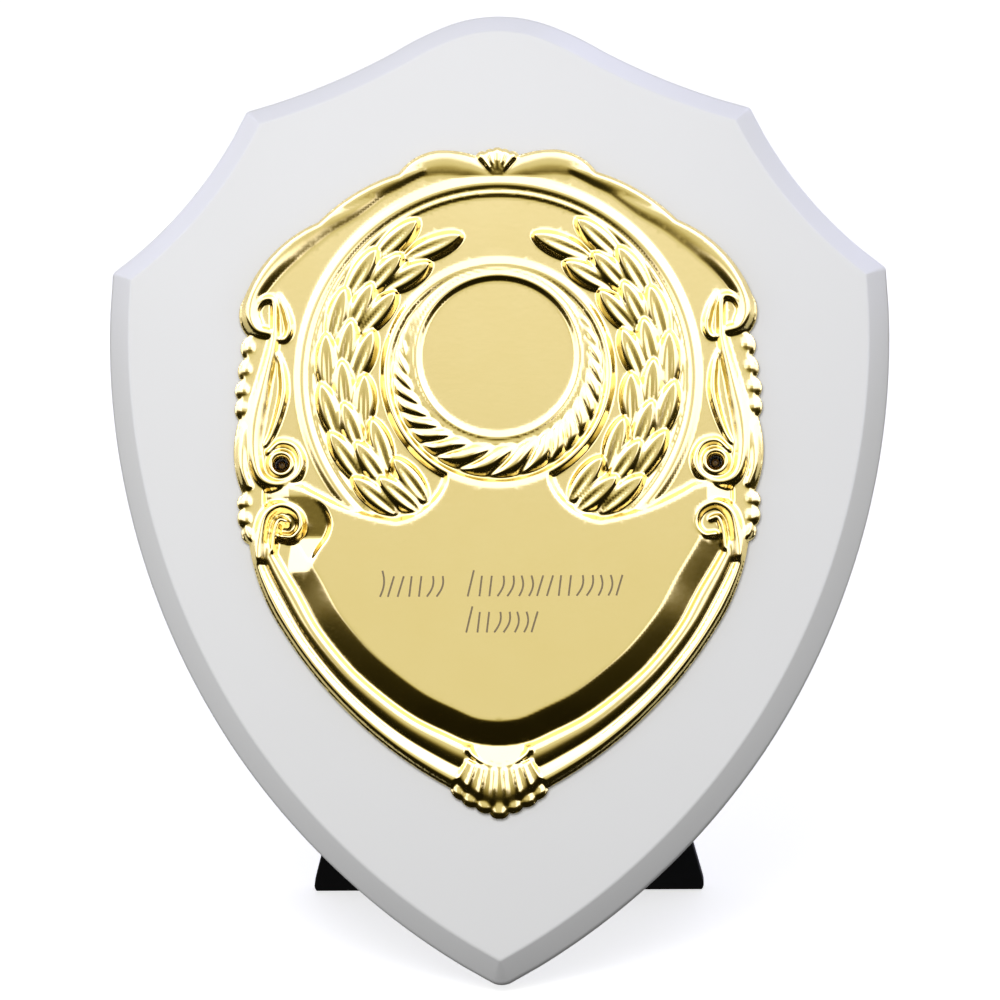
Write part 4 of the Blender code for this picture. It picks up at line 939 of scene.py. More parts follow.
def combined(item: bpy.types.Object, place: Matrix, tools: list[tuple[str, bmesh.types.BMesh]],
             bevel: float = 0.0) -> None:
    """Join and cut an object with tools, round its edges a little, and keep the result as its mesh.

    Args:
        item: The object, changed in place.
        place: The frame that the tools are drawn in.
        tools: Pairs of UNION or DIFFERENCE and a shape in that frame, in millimetres.
        bevel: Radius of the rounded edges.
    """
    guides = []
    for operation, shape in tools:
        guide = new_object(item.name + "_tool", mesh_from_bmesh(item.name + "_tool", shape), place)
        boolean = item.modifiers.new("form", "BOOLEAN")
        boolean.operation, boolean.object, boolean.solver = operation, guide, "EXACT"
        guides.append(guide)
    if bevel:
        edge = item.modifiers.new("edge", "BEVEL")
        edge.width, edge.segments, edge.limit_method = bevel * MM, 3, "ANGLE"
        edge.angle_limit, edge.use_clamp_overlap = SMOOTH_ANGLE, True
    bpy.context.view_layer.update()
    done = item.evaluated_get(bpy.context.evaluated_depsgraph_get())
    mesh = bpy.data.meshes.new_from_object(done)
    item.modifiers.clear()
    old, item.data = item.data, mesh
    bpy.data.meshes.remove(old)
    for guide in guides:
        bpy.data.objects.remove(guide, do_unlink=True)
    mesh.shade_smooth()
    mesh.set_sharp_from_angle(angle=SMOOTH_ANGLE)


@dataclass
class GoldFront:
    """The pressed gold front: fine relief over a flat back."""

    face: FaceFrame
    finish: bpy.types.Material
    outline_fineness: int = 4
    hole_sides: int = 48
    edge_margin: float = 0.12
    edge_reach: float = 1.0
    sharp_angle: float = math.radians(50.0)

    def build(self) -> bpy.types.Object:
        """Make the front.

        Returns:
            The front.
        """
        relief = Relief()
        grid = ReliefGrid(relief)
        outline = both_halves(chain(FRONT_HALF, self.outline_fineness))
        holes = [circle((side.value * PIN_CENTRE[0], PIN_CENTRE[1]), PIN_HOLE_RADIUS, self.hole_sides)
                 for side in Side]
        numbers = grid.points()
        x, w = grid.x[numbers[:, 1]], grid.w[numbers[:, 0]]
        to_edge, _, _ = nearest(x, w, outline + outline[:1], self.edge_reach)
        keep = inside_loop(x, w, outline) & (to_edge > self.edge_margin)
        for side in Side:
            from_hole = np.hypot(x - side.value * PIN_CENTRE[0], w - PIN_CENTRE[1])
            keep &= from_hole > PIN_HOLE_RADIUS + self.edge_margin
        loops = [outline] + holes
        where, triangles = fill_loops(loops, np.stack([x[keep], w[keep]], axis=1))
        back_where, back_triangles = fill_loops(loops, np.zeros((0, 2)))
        height = grid.sample(grid.heights, where[:, 0], where[:, 1])
        rim = sum(len(loop) for loop in loops)
        height[:len(outline)] = FRONT_EDGE
        back = np.full(len(back_where), -FRONT_BACK)
        vertices = np.concatenate([
            np.stack([where[:, 0], -height, where[:, 1]], axis=1),
            np.stack([back_where[:, 0], back, back_where[:, 1]], axis=1)]) * MM
        faces = self.facing(where, triangles, 0, 1) + self.facing(back_where, back_triangles, len(where), -1)
        top_faces = len(triangles)
        start = 0
        for loop in loops:
            for i in range(len(loop)):
                a, b = start + i, start + (i + 1) % len(loop)
                faces.append([a + len(where), b + len(where), b, a])
            start += len(loop)
        mesh = bpy.data.meshes.new("gold_relief")
        mesh.from_pydata(vertices.tolist(), [], faces)
        item = new_object("gold_relief", mesh, self.face.matrix)
        self.shade(mesh, grid, where, top_faces, rim)
        return Piece("gold_relief", "plaque", "pale_gold", ("gold_front",)).dress(item, self.finish)

    @staticmethod
    def facing(where: np.ndarray, triangles: np.ndarray, first: int, sign: int) -> list[list[int]]:
        """Triangles turned to face one way.

        Args:
            where: The points over the face.
            triangles: The triangles as numbers of points.
            first: The number of the first vertex.
            sign: 1 to face out, -1 to face back.

        Returns:
            The triangles as vertex numbers.
        """
        a, b, c = where[triangles[:, 0]], where[triangles[:, 1]], where[triangles[:, 2]]
        turn = (b[:, 0] - a[:, 0]) * (c[:, 1] - a[:, 1]) - (b[:, 1] - a[:, 1]) * (c[:, 0] - a[:, 0])
        swap = turn * sign < 0
        ordered = np.where(swap[:, None], triangles[:, [0, 2, 1]], triangles)
        return (ordered + first).tolist()

    def shade(self, mesh: bpy.types.Mesh, grid: ReliefGrid, where: np.ndarray, top_faces: int,
              rim: int) -> None:
        """Shade the relief by its true slopes, and leave the back and the walls flat.

        Args:
            mesh: The front's mesh.
            grid: The sampled relief.
            where: The relief's points over the face.
            top_faces: How many of the first faces are the relief's.
            rim: How many of the first vertices lie on the outline and the holes.
        """
        slope_x = grid.sample(grid.slope_x, where[:, 0], where[:, 1])
        slope_w = grid.sample(grid.slope_w, where[:, 0], where[:, 1])
        normals = np.stack([-slope_x, -np.ones(len(where)), -slope_w], axis=1)
        normals /= np.linalg.norm(normals, axis=1)[:, None]
        normals = normals @ np.array(self.face.matrix.to_3x3()).T
        mesh.shade_smooth()
        loop_vertex = np.empty(len(mesh.loops), int)
        mesh.loops.foreach_get("vertex_index", loop_vertex)
        corner_normals = np.zeros((len(mesh.loops), 3))
        top = np.arange(len(mesh.loops)) < top_faces * 3
        on_rim = loop_vertex < rim
        chosen = top & ~on_rim
        corner_normals[chosen] = normals[loop_vertex[chosen]]
        mesh.set_sharp_from_angle(angle=self.sharp_angle)
        mesh.normals_split_custom_set(corner_normals.tolist())


@dataclass
class Board:
    """The white board with its bevelled front edge."""

    face: FaceFrame
    finish: bpy.types.Material
    thickness: float = 12.0
    bevel_width: float = 3.5
    bevel_depth: float = 4.5
    back_round: float = 1.03
    inner_round: float = 0.7
    outer_round: float = 1.8
    corner: tuple[float, float] = (1.1, 0.25)
    tip: tuple[float, float] = (3.2, 0.6)
    hole_depth: float = 6.5
    hole_sides: int = 48
    fineness: int = 5
    round_steps: int = 5
    corner_steps: int = 8

    def ring(self, outline: list[Point], inset: float) -> list[Point]:
        """The outline moved in, its corners tighter the further in it lies.

        Args:
            outline: The board's outline.
            inset: How far it moves in.

        Returns:
            The ring.
        """
        share = min(inset / self.bevel_width, 1.0)
        corner = self.corner[0] + (self.corner[1] - self.corner[0]) * share
        tip = self.tip[0] + (self.tip[1] - self.tip[0]) * share
        radii = {}
        for i, (x, w) in enumerate(outline):
            for place, radius in ((SHOULDER, corner), (HIP, corner), (TIP, tip)):
                if math.dist((abs(x), w), place) < TINY:
                    radii[i] = radius
        return round_corners(inset_loop(outline, inset), radii, self.corner_steps, self.fineness)

    def section(self) -> list[Point]:
        """The rings that the board's edge is made of.

        Returns:
            Inset and depth of each ring, from the face round the bevel to the back.
        """
        slope = math.atan2(self.bevel_depth, self.bevel_width)
        left = math.pi / 2 - slope
        points, steps = [], self.round_steps
        reach, soft = self.inner_round, self.inner_round * math.tan(slope / 2)
        for k in range(steps + 1):
            turn = slope * k / steps
            points.append((self.bevel_width + soft - reach * math.sin(turn), reach * (1 - math.cos(turn))))
        reach, soft = self.outer_round, self.outer_round * math.tan(left / 2)
        for k in range(steps + 1):
            turn = slope + left * k / steps
            points.append((reach * (1 - math.sin(turn)), self.bevel_depth + soft - reach * math.cos(turn)))
        reach = self.back_round
        for k in range(steps + 1):
            turn = math.pi / 2 * k / steps
            points.append((reach * (1 - math.cos(turn)), self.thickness - reach * (1 - math.sin(turn))))
        return points

    def build(self) -> bpy.types.Object:
        """Make the board.

        Returns:
            The board.
        """
        outline = both_halves(chain(BOARD_HALF, self.fineness))
        rings = [[(x, depth, w) for x, w in self.ring(outline, inset)] for inset, depth in self.section()]
        shape = bmesh.new()
        rows = [[shape.verts.new(p) for p in ring] for ring in rings]
        for near, far in zip(rows, rows[1:]):
            self.wall(shape, near, far)
        holes = [circle((side.value * PIN_CENTRE[0], PIN_CENTRE[1]), PIN_HOLE_RADIUS, self.hole_sides)
                 for side in Side]
        mouths = [[shape.verts.new((x, 0.0, w)) for x, w in hole] for hole in holes]
        for hole, mouth in zip(holes, mouths):
            floor = [shape.verts.new((x, self.hole_depth, w)) for x, w in hole]
            self.wall(shape, mouth, floor)
            shape.faces.new(floor)
        self.cap(shape, [[(x, w) for x, _, w in rings[0]]] + holes, rows[0] + mouths[0] + mouths[1])
        self.cap(shape, [[(x, w) for x, _, w in rings[-1]]], rows[-1])
        self.cut_at_floor(shape)
        item = new_object("painted_board", mesh_from_bmesh("painted_board", shape), self.face.matrix)
        return Piece("painted_board", "plaque", "white_paint", ("shield_board",)).dress(item, self.finish)

    @staticmethod
    def wall(shape: bmesh.types.BMesh, near: list, far: list) -> None:
        """Quads between two rings of vertices.

        Args:
            shape: The bmesh that they are added to.
            near, far: The rings.
        """
        for i in range(len(near)):
            j = (i + 1) % len(near)
            shape.faces.new((near[i], far[i], far[j], near[j]))

    @staticmethod
    def cap(shape: bmesh.types.BMesh, loops: list[list[Point]], corners: list) -> None:
        """Triangles that fill a flat face with its holes, on vertices that are already there.

        Args:
            shape: The bmesh that they are added to.
            loops: The face's outline, then each hole.
            corners: The vertices of all the loops in order.
        """
        _, triangles = fill_loops(loops, np.zeros((0, 2)))
        for triangle in triangles:
            shape.faces.new([corners[k] for k in triangle])

    def cut_at_floor(self, shape: bmesh.types.BMesh) -> None:
        """Cut the tip flat where it meets the floor.

        Args:
            shape: The board, changed in place.
        """
        floor = self.face.matrix.inverted() @ Vector((0, 0, 0)) / MM
        up = self.face.matrix.to_3x3().inverted() @ Vector((0, 0, 1))
        geometry = shape.verts[:] + shape.edges[:] + shape.faces[:]
        cut = bmesh.ops.bisect_plane(shape, geom=geometry, plane_co=floor, plane_no=up, clear_inner=True,
                                     dist=TINY)
        rim = [e for e in cut["geom_cut"] if isinstance(e, bmesh.types.BMEdge)]
        bmesh.ops.contextual_create(shape, geom=rim)


@dataclass
class FixingPin:
    """A small domed pin down in the eye of a scroll."""

    face: FaceFrame
    finish: bpy.types.Material
    side: Side
    head: float = 0.72
    shank: float = 0.45
    top: float = -0.45
    length: float = 5.6
    dome_rise: float = 0.5
    head_depth: float = 0.85
    shank_depth: float = 1.05
    point: float = 0.8
    dome_steps: int = 6
    sides: int = 32

    def build(self) -> bpy.types.Object:
        """Make the pin.

        Returns:
            The pin.
        """
        turns = [math.pi / 2 * k / self.dome_steps for k in range(self.dome_steps + 1)]
        dome = [(self.head * math.sin(t), self.top + self.dome_rise * (1 - math.cos(t))) for t in turns]
        profile = dome + [(self.head, self.top + self.head_depth), (self.shank, self.top + self.shank_depth),
                          (self.shank, self.length - self.point), (0.0, self.length)]
        shape = turned(profile, self.sides)
        place = (self.side.value * PIN_CENTRE[0], 0.0, PIN_CENTRE[1])
        bmesh.ops.translate(shape, vec=place, verts=shape.verts)
        name = self.side.name.lower() + "_pin_head"
        item = new_object(name, mesh_from_bmesh(name, shape), self.face.matrix)
        node = self.side.name.lower() + "_fixing_pin"
        return Piece(name, "plaque", "brass_pins", (node,)).dress(item, self.finish)


@dataclass
class Inscription:
    """Rows of shallow strokes where the sample inscription stands; they form no letters."""

    face: FaceFrame
    finish: bpy.types.Material
    rows: tuple = ((61.5, (-19.5, -8.6), 7), (61.5, (-5.2, 20.1), 16), (55.7, (-5.4, 6.5), 8))
    tall: float = 4.2
    small: float = 3.3
    leans: tuple[float, float] = (0.5, 0.2)
    bow: float = 0.45
    width: float = 0.3
    rise: float = 0.03
    sunk: float = 0.1
    kinds: int = 4
    points: int = 9

    def stroke(self, foot: Point, height: float, kind: int) -> list[Point]:
        """One stroke's middle line: a leaning tick or a leaning bow.

        Args:
            foot: Its lower end.
            height: Its height.
            kind: Even or odd for its lean, and 2 or more for a bow.

        Returns:
            The line's points.
        """
        x, w = foot
        lean = self.leans[kind % 2]
        bow = self.bow * (kind // 2)
        return [(x + lean * (2 * t - 1) + bow * math.sin(math.pi * t), w + height * t)
                for t in np.linspace(0.0, 1.0, self.points)]

    def build(self) -> bpy.types.Object:
        """Make all the strokes as one thin piece.

        Returns:
            The strokes.
        """
        shape = bmesh.new()
        for foot, (start, end), count in self.rows:
            for k in range(count):
                x = start + (end - start) * (k + 0.5) / count
                height = self.small if k else self.tall
                kind = (k * k + k // 2 + count) % self.kinds
                self.ribbon(shape, [Vector(p) for p in self.stroke((x, foot), height, kind)])
        item = new_object("engraved_strokes", mesh_from_bmesh("engraved_strokes", shape), self.face.matrix)
        return Piece("engraved_strokes", "plaque", "pale_gold").dress(item, self.finish)

    def ribbon(self, shape: bmesh.types.BMesh, line: list[Vector]) -> None:
        """Add a thin closed ribbon along a line, sunk a little into the field.

        Args:
            shape: The bmesh that it is added to.
            line: The line's points.
        """
        top, bottom = -(FIELD + self.rise), -(FIELD - self.sunk)
        sides = []
        for i, here in enumerate(line):
            ahead, back = line[min(i + 1, len(line) - 1)], line[max(i - 1, 0)]
            run = (ahead - back).normalized()
            across = Vector((-run.y, run.x)) * self.width / 2
            left, right = here + across, here - across
            sides.append([shape.verts.new((p.x, y, p.y)) for p, y in
                          ((left, bottom), (left, top), (right, top), (right, bottom))])
        for near, far in zip(sides, sides[1:]):
            for k in range(4):
                shape.faces.new((near[k], far[k], far[(k + 1) % 4], near[(k + 1) % 4]))
        shape.faces.new(sides[0])
        shape.faces.new(list(reversed(sides[-1])))


@dataclass
class Hinge:
    """Sizes shared by the hinge plate, the pin, the screws and the strut."""

    height: float = 95.0
    board: float = 12.0
    plate: float = 1.6
    axis_above: float = 2.6
    knuckle: float = 2.2
    knuckle_half: float = 6.6
    ear_inner: float = 7.0
    ear_outer: float = 10.4
    pin: float = 0.9
    bore: float = 1.25
    overhang: float = 0.5
    screw_x: float = 8.2
    screw_above: float = 10.5
    screw_head: float = 2.3
    screw_shank: float = 1.1

    @property
    def surface(self) -> float:
        """Depth of the plate's underside."""
        return self.board + GAP

    @property
    def top(self) -> float:
        """Depth of the plate's outer face."""
        return self.surface + self.plate

    @property
    def axis(self) -> float:
        """Depth of the hinge's axis."""
        return self.top + self.axis_above


@dataclass
class HingePlate:
    """The plate on the board's back, with two ears."""

    face: FaceFrame
    finish: bpy.types.Material
    hinge: Hinge
    width: float = 27.0
    below: float = 4.5
    above: float = 17.0
    corner: float = 2.0
    soft: float = 0.22
    ear_root: float = 0.5
    hole_room: float = 0.05

    def build(self) -> bpy.types.Object:
        """Make the plate with its ears, bore and screw holes.

        Returns:
            The plate.
        """
        h, half = self.hinge, self.width / 2
        low, high = h.height - self.below, h.height + self.above
        outline = rounded_loop([(-half, low), (half, low), (half, high), (-half, high)], self.corner)
        shape = plate(outline, h.surface, h.top)
        item = new_object("hinge_bracket", mesh_from_bmesh("hinge_bracket", shape), self.face.matrix)
        tools = []
        for side in Side:
            inner, outer = side.value * h.ear_inner, side.value * h.ear_outer
            tools.append(("UNION", rod(h.knuckle, (inner, h.axis, h.height), (outer, h.axis, h.height))))
            lower = (min(inner, outer), h.top - self.ear_root, h.height - h.knuckle)
            upper = (max(inner, outer), h.axis, h.height + h.knuckle)
            tools.append(("UNION", box(lower, upper)))
        tools.append(("DIFFERENCE", rod(h.bore, (-half, h.axis, h.height), (half, h.axis, h.height))))
        for side in Side:
            x, z = side.value * h.screw_x, h.height + h.screw_above
            radius = h.screw_shank + GAP + self.hole_room
            tools.append(("DIFFERENCE", rod(radius, (x, h.surface - 1, z), (x, h.top + 1, z))))
        combined(item, self.face.matrix, tools, self.soft)
        return Piece("hinge_bracket", "plaque", "black_plastic", ("hinge_plate",)).dress(item, self.finish)


@dataclass
class HingePin:
    """The steel pin through the ears and the knuckle, with soft ends."""

    face: FaceFrame
    finish: bpy.types.Material
    hinge: Hinge
    soft: float = 0.2
    soft_middle: float = 0.06
    sides: int = 32

    def build(self) -> bpy.types.Object:
        """Make the pin.

        Returns:
            The pin.
        """
        h = self.hinge
        reach = h.ear_outer + h.overhang
        end = [(0.0, 0.0), (h.pin - self.soft, 0.0), (h.pin - self.soft_middle, self.soft_middle),
               (h.pin, self.soft)]
        profile = [(r, y - reach) for r, y in end] + [(r, reach - y) for r, y in reversed(end)]
        shape = turned(profile, self.sides)
        turn = Matrix.Translation((0.0, h.axis, h.height)) @ Matrix.Rotation(math.pi / 2, 4, "Z")
        bmesh.ops.transform(shape, matrix=turn, verts=shape.verts)
        item = new_object("steel_hinge_pin", mesh_from_bmesh("steel_hinge_pin", shape), self.face.matrix)
        return Piece("steel_hinge_pin", "plaque", "plated_steel", ("hinge_pin",)).dress(item, self.finish)


@dataclass
class Screw:
    """A pan-head screw with a crossed recess."""

    face: FaceFrame
    finish: bpy.types.Material
    hinge: Hinge
    side: Side
    head_height: float = 1.3
    length: float = 9.0
    point: float = 1.0
    recess: tuple[float, float, float] = (1.1, 0.22, 0.6)
    head_rim: float = 0.3
    dome_points: int = 9
    sides: int = 40
    soft: float = 0.05

    def build(self) -> bpy.types.Object:
        """Make the screw.

        Returns:
            The screw.
        """
        h = self.hinge
        seat = h.top + GAP
        top, end = seat + self.head_height, seat + self.head_height - self.length
        dome_height = self.head_height - self.head_rim
        dome = [(h.screw_head * math.sin(t), seat + self.head_rim + dome_height * math.cos(t))
                for t in np.linspace(0, math.pi / 2, self.dome_points)]
        shank = [(h.screw_head, seat), (h.screw_shank, seat), (h.screw_shank, end), (0.0, end - self.point)]
        profile = [(0.0, top)] + dome[1:] + shank
        shape = turned(profile, self.sides)
        x, z = self.side.value * h.screw_x, h.height + h.screw_above
        bmesh.ops.translate(shape, vec=(x, 0.0, z), verts=shape.verts)
        name = self.side.name.lower() + "_pan_head_screw"
        item = new_object(name, mesh_from_bmesh(name, shape), self.face.matrix)
        long, thin, deep = self.recess
        tools = [("DIFFERENCE", box((x - a, top - deep, z - b), (x + a, top + 1, z + b)))
                 for a, b in ((long, thin), (thin, long))]
        combined(item, self.face.matrix, tools, self.soft)
        node = self.side.name.lower() + "_hinge_screw"
        return Piece(name, "plaque", "plated_steel", (node,)).dress(item, self.finish)


@dataclass
class Strut:
    """The folding easel strut."""

    face: FaceFrame
    finish: bpy.types.Material
    hinge: Hinge
    opened: float = math.radians(29.3)
    thickness: float = 2.5
    foot_width: float = 67.0
    side_angle: float = math.radians(14.4)
    corner: float = 1.4
    flat: float = 0.45
    neck: float = 3.3
    margin: float = 4.0
    panel_depth: float = 0.6
    heel: float = 4.0
    soft: float = 0.25
    cutter: tuple[float, float] = (60.0, 40.0)

    def build(self) -> bpy.types.Object:
        """Make the strut, swung open, and cut flat where it meets the floor.

        Returns:
            The strut.
        """
        h = self.hinge
        turn = Matrix.Translation((0, h.axis * MM, h.height * MM)) @ Matrix.Rotation(self.opened, 4, "X")
        place = self.face.matrix @ turn
        slope = self.opened - LEAN_BACK
        height = place.translation.z / MM
        length = (height + self.flat - self.thickness / 2 * math.sin(slope)) / math.cos(slope)
        foot, half = self.foot_width / 2, self.thickness / 2
        shoulder = foot - (length - self.neck) * math.tan(self.side_angle)
        corners = [(-foot, -length), (foot, -length), (shoulder, -self.neck), (-shoulder, -self.neck)]
        shape = plate(rounded_loop(corners, self.corner), -half, half)
        item = new_object("folding_strut", mesh_from_bmesh("folding_strut", shape), place)
        k = h.knuckle_half
        heel = box((-k, GAP - h.axis_above, 0.0), (k, 0.0, self.heel))
        bmesh.ops.rotate(heel, cent=(0, 0, 0), matrix=Matrix.Rotation(-self.opened, 3, "X"), verts=heel.verts)
        side, upper = foot - 2 * self.margin, shoulder - self.margin
        low, high = self.margin - length, -self.neck - 2 * self.margin
        panel = [(-side, low), (side, low), (upper, high), (-upper, high)]
        floor = place.inverted() @ Vector((0, 0, 0)) / MM
        wide, deep = self.cutter
        ground = box((-wide, -wide, -deep), (wide, wide, 0))
        bmesh.ops.rotate(ground, cent=(0, 0, 0), matrix=Matrix.Rotation(-slope, 3, "X"), verts=ground.verts)
        bmesh.ops.translate(ground, vec=floor, verts=ground.verts)
        tools = [
            ("UNION", box((-k, -half, -self.neck - 1), (k, half, 0))),
            ("UNION", rod(h.knuckle, (-k, 0, 0), (k, 0, 0))),
            ("UNION", heel),
            ("DIFFERENCE", plate(rounded_loop(panel, self.corner), half - self.panel_depth, half + 1)),
            ("DIFFERENCE", rod(h.bore, (-k - 1, 0, 0), (k + 1, 0, 0)))]
        combined(item, place, tools, self.soft)
        combined(item, place, [("DIFFERENCE", ground)])
        return Piece("folding_strut", "strut", "black_plastic", ("easel_strut",)).dress(item, self.finish)


# Finishes


@dataclass
class NodeTree:
    """A short way to add and join shader nodes."""

    tree: bpy.types.NodeTree

    def add(self, kind: str, inputs: dict | None = None, **settings: object) -> bpy.types.Node:
        """Add a node.

        Args:
            kind: The node's type.
            inputs: Each input's value or another node's output.
            settings: The node's own settings.

        Returns:
            The node.
        """
        node = self.tree.nodes.new(kind)
        for key, value in settings.items():
            setattr(node, key, value)
        for key, value in (inputs or {}).items():
            if isinstance(value, bpy.types.NodeSocket):
                self.tree.links.new(value, node.inputs[key])
            else:
                node.inputs[key].default_value = value
        return node

    def combine(self, kind: str, operation: str, *values: object) -> bpy.types.NodeSocket:
        """The result of a math node of a kind, from values or other nodes' outputs."""
        return self.add(kind, dict(enumerate(values)), operation=operation).outputs[0]

    def noise(self, scale: float, detail: float = 3.0, rough: float = 0.5,
              stretch: Sequence[float] = (1, 1, 1)) -> bpy.types.NodeSocket:
        """Noise over the object.

        Args:
            scale: Its scale per metre.
            detail, rough: How fine and how rough it is.
            stretch: What its three directions are multiplied by.

        Returns:
            Its value from 0 to 1.
        """
        where = self.add("ShaderNodeTexCoord").outputs["Object"]
        mapping = self.add("ShaderNodeMapping", {"Vector": where, "Scale": stretch})
        node = self.add("ShaderNodeTexNoise", {
            "Vector": mapping.outputs["Vector"], "Scale": scale, "Detail": detail, "Roughness": rough})
        return node.outputs["Fac"]

    def ramp(self, value: bpy.types.NodeSocket, low: float, high: float) -> bpy.types.NodeSocket:
        """A value from 0 to 1 mapped to the range from low to high."""
        node = self.add("ShaderNodeMapRange", {"Value": value, "To Min": low, "To Max": high})
        return node.outputs["Result"]

    def tint(self, value: bpy.types.NodeSocket, first: Colour, second: Colour) -> bpy.types.NodeSocket:
        """A blend of two colours.

        Args:
            value: From 0 for the first colour to 1 for the second.
            first, second: The colours.

        Returns:
            The blended colour.
        """
        node = self.add("ShaderNodeMix", {"Factor": value}, data_type="RGBA")
        node.inputs["A"].default_value = (*first, 1.0)
        node.inputs["B"].default_value = (*second, 1.0)
        return node.outputs["Result"]


def new_material(name: str) -> tuple[bpy.types.Material, NodeTree, bpy.types.Node]:
    """Make an empty material.

    Args:
        name: Its name.

    Returns:
        The material, its node helper and its main shader.
    """
    material = bpy.data.materials.new(name)
    material.use_nodes = True
    return material, NodeTree(material.node_tree), material.node_tree.nodes["Principled BSDF"]


@dataclass(frozen=True)
class Finish:
    """What the finishes share: a colour and a roughness that vary a little, and a fine bump or none.

    Each noise is its scale per metre, then its detail, roughness and stretch unless they are the usual ones.
    """

    name: str
    colour: Colour
    second: Colour
    colour_noise: tuple
    roughness: tuple[float, float]
    roughness_noise: tuple
    bump: tuple[float, float] = (0.0, 0.0)
    bump_noise: tuple = ()
    metallic: float = 0.0
    specular: float = 0.5

    def build(self) -> bpy.types.Material:
        """Make the material.

        Returns:
            The material.
        """
        material, nodes, shader = new_material(self.name)
        link = material.node_tree.links.new
        colour = nodes.tint(nodes.noise(*self.colour_noise), self.colour, self.second)
        link(colour, shader.inputs["Base Color"])
        if self.roughness_noise:
            link(nodes.ramp(nodes.noise(*self.roughness_noise), *self.roughness), shader.inputs["Roughness"])
        else:
            shader.inputs["Roughness"].default_value = self.roughness[0]
        if self.bump_noise:
            strength, distance = self.bump
            height = nodes.noise(*self.bump_noise)
            bump = nodes.add("ShaderNodeBump", {"Height": height, "Strength": strength, "Distance": distance})
            link(bump.outputs["Normal"], shader.inputs["Normal"])
        shader.inputs["Metallic"].default_value = self.metallic
        shader.inputs["Specular IOR Level"].default_value = self.specular
        return material


@dataclass(frozen=True)
class WhitePaint(Finish):
    """Smooth sprayed white paint with a soft gloss and the faintest waviness."""

    name: str = "white_paint_look"
    colour: Colour = (0.86, 0.862, 0.865)
    second: Colour = (0.845, 0.846, 0.848)
    colour_noise: tuple = (60.0,)
    roughness: tuple[float, float] = (0.26, 0.34)
    roughness_noise: tuple = (900.0,)
    bump: tuple[float, float] = (0.03, 0.0002)
    bump_noise: tuple = (1400.0, 2.0)
    specular: float = 0.3


@dataclass(frozen=True)
class PaleGold(Finish):
    """Bright pressed aluminium under a pale gold lacquer."""

    name: str = "pale_gold_look"
    colour: Colour = (0.90, 0.74, 0.31)
    second: Colour = (0.87, 0.70, 0.27)
    colour_noise: tuple = (120.0,)
    roughness: tuple[float, float] = (0.10, 0.16)
    roughness_noise: tuple = (1500.0, 4.0)
    bump: tuple[float, float] = (0.05, 0.0001)
    bump_noise: tuple = (1100.0, 3.0)
    metallic: float = 1.0


@dataclass(frozen=True)
class ZincSteel(Finish):
    """Plated steel with fine drawn marks."""

    name: str = "zinc_steel_look"
    colour: Colour = (0.62, 0.63, 0.64)
    second: Colour = (0.558, 0.567, 0.576)
    colour_noise: tuple = (500.0,)
    roughness: tuple[float, float] = (0.2, 0.34)
    roughness_noise: tuple = (2500.0, 3.0, 0.6, (0.15, 1, 1))
    metallic: float = 1.0


@dataclass(frozen=True)
class BrassInPaintedShade(ZincSteel):
    """Brass darkened to near black as painted shade of the deep pin hole, with fine drawn marks."""

    name: str = "brass_in_painted_shade_look"
    # Near-black colour: painted shade of the pin head sitting deep in its hole, not the brass's own tone.
    colour: Colour = (0.1, 0.07, 0.035)
    second: Colour = (0.09, 0.063, 0.0315)
    roughness: tuple[float, float] = (0.35, 0.5)


@dataclass(frozen=True)
class EngravedGold(Finish):
    """The dull grey-brown floor of an engraved stroke."""

    name: str = "engraved_look"
    colour: Colour = (0.21, 0.16, 0.09)
    second: Colour = (0.30, 0.24, 0.14)
    colour_noise: tuple = (3000.0, 4.0)
    roughness: tuple[float, float] = (0.6, 0.6)
    roughness_noise: tuple = ()
    specular: float = 0.2


@dataclass(frozen=True)
class BlackPlastic(Finish):
    """Moulded black plastic with a fine matt grain."""

    name: str = "black_plastic_look"
    colour: Colour = (0.004, 0.004, 0.0045)
    second: Colour = (0.008, 0.008, 0.0085)
    colour_noise: tuple = (200.0,)
    roughness: tuple[float, float] = (0.45, 0.6)
    roughness_noise: tuple = (4000.0,)
    bump: tuple[float, float] = (0.15, 0.0001)
    bump_noise: tuple = (5000.0, 2.0)
    specular: float = 0.3


# Studio


